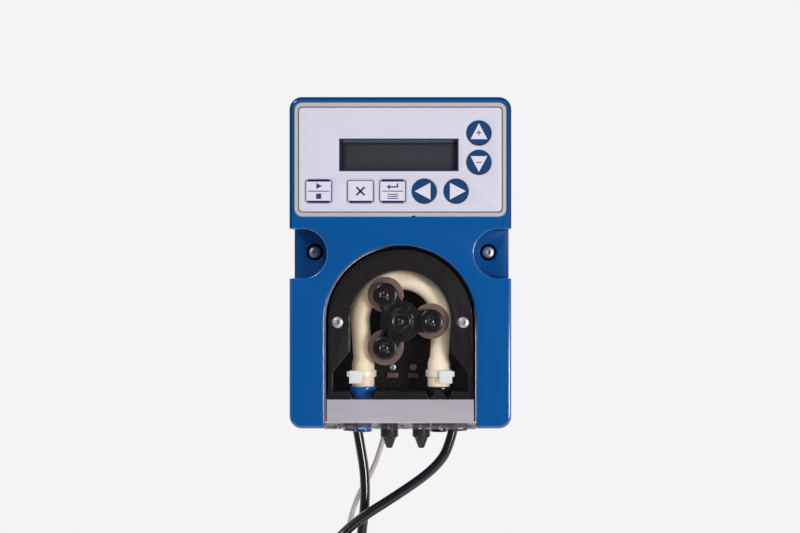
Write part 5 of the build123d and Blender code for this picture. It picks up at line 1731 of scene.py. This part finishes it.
@dataclass(frozen=True)
class HoseEnds:
    """Cable ties and the two hose fittings."""

    foot_x: float = 21.6
    y: float = -94.8
    band: float = 8.6
    tail_inner: float = 28.9
    tail_outer: float = 30.3
    tail_front: float = -103.4
    tail_back: float = -102.3
    tail_low: float = -64.45
    tail_high: float = -61.45

    def build(self) -> None:
        """Build the ties with their cut tails, and dress the fittings."""

        def band(centre: Vector, normal: Vector) -> bool:
            """Tell whether a face is on a band and not on its head."""
            return math.hypot(abs(centre.x) - self.foot_x, centre.y - self.y) < self.band

        softened("hose_ties", "cable_ties", TIE, 0.35, 3, zones=[(TIE_BAND, band)])
        for side, name in ((-1, "left"), (1, "right")):
            xs = sorted((side * self.tail_inner, side * self.tail_outer))
            low = (xs[0], self.tail_front, self.tail_low)
            high = (xs[1], self.tail_back, self.tail_high)
            tail = Bench.plate(f"tie_tail_{name}", low, high)
            tail.pick(lambda c, n: n.x * side > 0.9).step((0.25, 0.15))
            tail.soften(0.12, 2).done(TIE, "housing")
        softened("suction_fitting", "suction_nipple", FITTING_BLUE, 0.3, 3, 35)
        softened("discharge_fitting", "discharge_nipple", FITTING_BLACK, 0.3, 3, 35)


# ------------------------------------------------------------------ leads


@dataclass(frozen=True)
class Winding:
    """How a lead's tied coil is wound: the layer and column of each turn, in order."""

    centre: Point
    radius: float
    slots: tuple[Spot, ...]
    tail: float
    first_angle: float = 168.0
    joins_at: float = 153.0
    ends_at: float = 270.0
    shifts_from: float = 275.0
    shifts_to: float = 513.0
    points_per_turn: int = 24

    def _slot_at(self, angle: float) -> Spot:
        """Find the place of the strand in the coil's section.

        Args:
            angle: The angle, counted over all the coil's turns.

        Returns:
            Its radius and its depth.
        """
        turns = len(self.slots) - 1
        turn = int((angle - self.joins_at) // 360)
        if turn >= turns:
            return self.slots[-1]
        width = (self.shifts_to - self.shifts_from) / turns
        start = self.shifts_from + width * (turns - 1 - turn)
        share = min(1.0, max(0.0, (angle - 360 * turn - start) / width))
        eased = share * share * (3 - 2 * share)
        near, far = self.slots[turn], self.slots[turn + 1]
        return tuple(a + (b - a) * eased for a, b in zip(near, far))

    def points(self) -> list[Point]:
        """Return the coil's control points, from where the lead enters to its tail."""
        x, y, z = self.centre
        step = 360 / self.points_per_turn
        last = 360 * (len(self.slots) - 1) + self.ends_at
        found = []
        angle = self.first_angle
        while angle < last - 1:
            radius, depth = self._slot_at(angle)
            turn = math.radians(angle)
            reach = radius / math.cos(math.radians(step / 2)) ** 0.5
            found.append((x + reach * math.cos(turn), y + depth, z + reach * math.sin(turn)))
            angle += step
        radius, depth = self.slots[-1]
        tail = (0.0, self.tail / 2, self.tail)
        return found + [(x + along, y + depth, z - radius) for along in tail]


@dataclass(frozen=True)
class Lead:
    """One free lead: its visible route, its put-away coil, its tie and its bare cores."""

    name: str
    start: Point
    route: tuple[Point, ...]
    winding: Winding
    diameter: float
    length: float
    finish: Finish
    cores: tuple[Finish, ...]
    core: float
    root: float = 3.6
    tie_from: float = 1.0
    tie_to: float = 9.0
    tie_gap: float = 0.25
    tie_wall: float = 0.9
    tie_hollow: float = 3.4
    core_overlap: float = 2.0
    core_length: float = 18.0
    copper_length: float = 7.6

    def build(self) -> None:
        curve = bpy.data.curves.new(self.name, "CURVE")
        curve.dimensions = "3D"
        spline = curve.splines.new("NURBS")
        root = (self.start[0], self.start[1], self.start[2] + self.root)
        places = [root, *self.route, self._joint(), *self.winding.points()]
        spline.points.add(len(places) - 1)
        for point, place in zip(spline.points, places):
            point.co = (*metres(place), 1.0)
        spline.order_u = 3
        spline.use_endpoint_u = True
        spline.resolution_u = curve.resolution_u = 5
        curve.bevel_depth = self.diameter / 2 * MM
        curve.bevel_resolution = 6
        curve.use_fill_caps = True
        curve.materials.append(self.finish.material())
        piece = put_in_scene(self.name, curve)
        node = self.name.replace("_cord", "_lead")
        enlist(piece, self.finish, "housing", node, f"{node}_coil")
        extras = [self.tie(), *self.bare_cores()]
        self.diameter * MM

    def _joint(self) -> Point:
        """Return where the route meets the coil, on its left side."""
        x, y, z = self.winding.centre
        radius, half = self.winding.radius, self.diameter / 2
        outer = max(r for r, _ in self.winding.slots) + half
        return (x - radius, y, z + math.sqrt(outer**2 - radius**2) - half)

    def tie(self) -> bpy.types.Object:
        """Build the wrapped band that holds the coil together at its top."""
        x, y, z = self.winding.centre
        radii, depths = zip(*self.winding.slots)
        around = self.diameter / 2 + self.tie_gap + self.tie_wall
        low = (x + self.tie_from, y + min(depths) - around, z + min(radii) - around)
        high = (x + self.tie_to, y + max(depths) + around, z + max(radii) + around)
        bench = Bench.plate(f"{self.name}_tie", low, high).pick(lambda c, n: abs(n.x) > 0.9)
        bench.step((self.tie_wall, 0.0), (0.0, -self.tie_hollow), each=True)
        return bench.soften(0.5, 3, 60).done(RUBBER, "housing", smooth=60)

    def bare_cores(self) -> list[bpy.types.Object]:
        """Build the insulated cores with their stripped copper tips."""
        x, y, z = self.winding.centre
        radius, depth = self.winding.slots[-1]
        last = max(r for r, _ in self.winding.slots)
        outer, core = last + self.diameter / 2, self.core
        start = x + math.sqrt(outer**2 - last**2) - self.core_overlap
        tip = start + self.core_length + 0.05

        def copper(centre: Vector, normal: Vector) -> bool:
            """Tell whether a face is on the stripped tip."""
            return centre.x > tip

        made = []
        for index, finish in enumerate(self.cores):
            side = y + depth + (index - (len(self.cores) - 1) / 2) * core
            name, seat = f"{self.name}_core_{index + 1}", (start, side, z - radius)
            size = (core / 2 * 0.98, self.core_length)
            bench = Bench.round(name, seat, *size, Facing.RIGHT, 20).top()
            bench.step((core * 0.06, 0.06), (core * 0.16, 0.0), (0.0, self.copper_length))
            bench.step((core * 0.1, 0.2)).closed()
            made.append(bench.done(finish, "housing", "lead_ends", zones=[(COPPER, copper)]))
        return made


@dataclass(frozen=True)
class Glands:
    """Cable glands with wide cap nuts, and the blind grommets under the housing."""

    xs: Spot = (-27.7, 30.5)
    y: float = -36.5
    top: float = -91.5
    dome: float = 3.0
    corner: float = 9.8
    nut: float = 9.4

    def build(self) -> None:
        """Build the glands and the grommets."""
        for x, name in zip(self.xs, ("power", "signal")):
            self.gland(x, name)
        softened("blind_grommets", "stepped_grommets", GROMMET, 0.7, 3, 25, smooth=50)
        softened("probe_gland", "probe_grommet", GROMMET, 0.3, 3, 25, smooth=50)

    def gland(self, x: float, name: str) -> None:
        """Build one gland: its inside, and the wide cap nut that closes on the lead.

        Args:
            x: Its place along X.
            name: The lead that it holds.
        """
        node = f"{name}_gland"
        inside = Bench.copy_of(node, f"{name}_gland_body").cut(2, self.top - self.dome, True)
        inside.soften(0.3, 2, 40).done(GLAND, "housing", node)
        seat = (x, self.y, self.top)
        nut = Bench.round(f"{name}_gland_nut", seat, self.corner, self.nut, Facing.DOWN, 6)
        nut.pick(lambda c, n: abs(n.z) < 0.2).step((1.6, 0.0), (0.3, -0.25), each=True)
        nut.top().step((0.9, 0.42), (1.5, 0.28), (1.2, 0.1), (0.6, -0.5))
        nut.soften(0.45, 3, 28).done(GLAND, "housing", node, smooth=50)


THICK_TURNS = ((39.0, 0.0), (39.0, 6.0), (33.0, 6.0), (33.0, 0.0), (33.0, -6.0), (39.0, -6.0))
THIN_TURNS = (
    (22.4, 0.0), (22.4, 3.2), (19.2, 3.2), (16.0, 3.2),
    (16.0, 0.0), (16.0, -3.2), (19.2, -3.2), (22.4, -3.2),
)
POWER = Lead(
    "power_cord",
    (-27.7, -36.5, -104.3),
    ((-25.2, -36.4, -114.5), (-23.0, -36.3, -129.5), (-23.0, -36.6, -147.0),
     (-25.4, -36.5, -166.0), (-26.8, -36.5, -183.0)),
    Winding((9.0, -36.5, -216.0), 36.0, THICK_TURNS, 13.6),
    6.0, 1.32, LEAD_BLACK, (CORE_BROWN, CORE_BLUE, CORE_GREEN), 1.8,
)
SIGNAL = Lead(
    "signal_cord",
    (30.5, -36.5, -104.3),
    ((27.4, -37.2, -112.8), (21.8, -38.4, -121.1), (12.5, -40.4, -129.4),
     (-5.9, -44.2, -141.4), (-28.2, -48.8, -154.8), (-42.6, -53.0, -168.7),
     (-52.0, -56.8, -184.5)),
    Winding((-18.0, -58.0, -220.0), 36.0, THICK_TURNS, 13.6),
    6.0, 1.36, LEAD_BLACK, (CORE_BROWN, CORE_WHITE), 1.8,
)
PROBE = Lead(
    "probe_cord",
    (-9.5, -19.0, -100.0),
    ((-12.6, -19.0, -109.0), (-18.4, -19.2, -127.0), (-28.4, -19.4, -143.5),
     (-33.8, -19.8, -161.0), (-36.6, -20.0, -180.5)),
    Winding((-18.8, -20.0, -211.0), 19.2, THIN_TURNS, 6.6),
    3.2, 1.0, LEAD_WHITE, (CORE_BROWN, CORE_WHITE), 1.2, 2.0,
)


# ------------------------------------------------------------------ stage


@dataclass(frozen=True)
class Stage:
    """Pale floor, soft lamps, plain surroundings and the camera."""

    backdrop: Colour = rgb(245, 243, 246)
    ambient: float = 0.42
    room: float = 0.06
    floor_y: float = -60.0
    floor_z: float = -262.6
    floor_radius: float = 540.0
    floor_glow: float = 0.34
    aim: Point = (0.0, -100.0, 0.0)
    eye: Point = (19.3, -1012.0, -2.1)
    lens_mm: float = 72.3
    sensor_mm: float = 36.0
    shift: float = -0.0435

    def build(self) -> None:
        """Set up everything that isn't part of the pump."""
        bpy.context.scene.view_settings.view_transform = "Standard"
        self.world()
        self.floor()
        self.lamp("left_lamp", (-820.0, -1250.0, 900.0), 7.3, 0.32)
        self.lamp("right_lamp", (900.0, -1150.0, -120.0), 10.6, 0.4)
        self.camera()

    def world(self) -> None:
        """Give the pump a pale backdrop, a soft light and a dim room to mirror in front."""
        world = bpy.data.worlds.new("surroundings")
        bpy.context.scene.world = world
        net = Net(world)
        net.tree.nodes.clear()
        camera, glossy, through = (
            net.node("ShaderNodeLightPath", output=f"Is {kind} Ray")
            for kind in ("Camera", "Glossy", "Transmission")
        )
        way = net.node("ShaderNodeTexCoord", output="Generated")
        depth = net.node("ShaderNodeSeparateXYZ", None, {0: way}, 1)
        behind = 1 - depth.between(0.3, -0.35)
        pale = camera.either(through).either(glossy * behind)
        rest = glossy * self.room + (1 - glossy) * self.ambient
        strength = pale + (1 - pale) * rest
        sky = net.node("ShaderNodeBackground", None, {"Color": self.backdrop, "Strength": strength})
        net.node("ShaderNodeOutputWorld", None, {"Surface": sky})

    def floor(self) -> None:
        """Lay a pale round floor that fades out towards its rim."""
        leave_edit()
        bpy.ops.mesh.primitive_circle_add(
            vertices=96,
            radius=self.floor_radius * MM,
            fill_type="NGON",
            location=metres((0.0, self.floor_y, self.floor_z)),
        )
        bpy.ops.object.transform_apply(location=True, rotation=True, scale=True)
        disc = bpy.context.view_layer.objects.active
        disc.name = "floor"
        paint = bpy.data.materials.new("floor_paint")
        disc.data.materials.append(paint)
        net = Net(paint)
        x, y = net.axis(0), net.axis(1) - self.floor_y
        square, far = x * x + y * y, self.floor_radius**2
        speck = net.grain(4.0, 3.0)
        ray = "ShaderNodeLightPath"
        seen = net.node(ray, output="Is Camera Ray").either(net.node(ray, output="Is Glossy Ray"))
        glow = tuple(value * self.floor_glow for value in self.backdrop)
        net.surface(
            Base_Color=net.blend(speck * 0.05, self.backdrop, (0.8, 0.8, 0.8)),
            Roughness=0.8 + speck * 0.1,
            Alpha=square.between(far * 0.92, far * 0.35),
            Specular_IOR_Level=0.1,
            Emission_Color=net.blend(seen, (0.0, 0.0, 0.0), glow),
            Emission_Strength=1.0,
        )

    def lamp(self, name: str, place: Point, watts: float, size: float) -> None:
        """Hang one square lamp that looks at the pump.

        Args:
            name: Its name.
            place: Where it hangs.
            watts: Its power.
            size: The side of its square, in metres.
        """
        light = bpy.data.lights.new(name, "AREA")
        light.energy, light.size = watts, size
        holder = put_in_scene(name, light)
        holder.location = metres(place)
        way = metres(self.aim) - holder.location
        holder.rotation_euler = way.to_track_quat("-Z", "Y").to_euler()

    def camera(self) -> None:
        """Set the camera level with the pump, a little to its right."""
        lens = bpy.data.cameras.new("view")
        lens.lens, lens.sensor_width, lens.shift_x = self.lens_mm, self.sensor_mm, self.shift
        lens.dof.use_dof = False
        holder = put_in_scene("view", lens)
        holder.location = metres(self.eye)
        holder.rotation_euler = (math.pi / 2, 0.0, 0.0)
        bpy.context.scene.camera = holder


def dress_nodes() -> None:
    """Give every node of the frame its finish."""
    finishes = {name: paint for paint, names in NODES_BY_FINISH.items() for name in names.split()}
    for name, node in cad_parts.items():
        finish = finishes[name]
        for holder in node.material_slots:
            holder.material = finish.material()
        if not node.material_slots:
            node.data.materials.append(finish.material())
        LOG.info("node %s, %s", name, finish.name)


def main() -> None:
    """Build the stage and every sub-assembly in order."""
    logging.basicConfig(level=logging.INFO, format="%(name)s: %(message)s")
    Stage().build()
    dress_nodes()
    for lead in (POWER, SIGNAL, PROBE):
        lead.build()
    for group in (Housing, Keypad, Chamber, Rotor, Hose, HoseEnds, Glands):
        group().build()
    leave_edit()


if __name__ == "__main__":
    main()
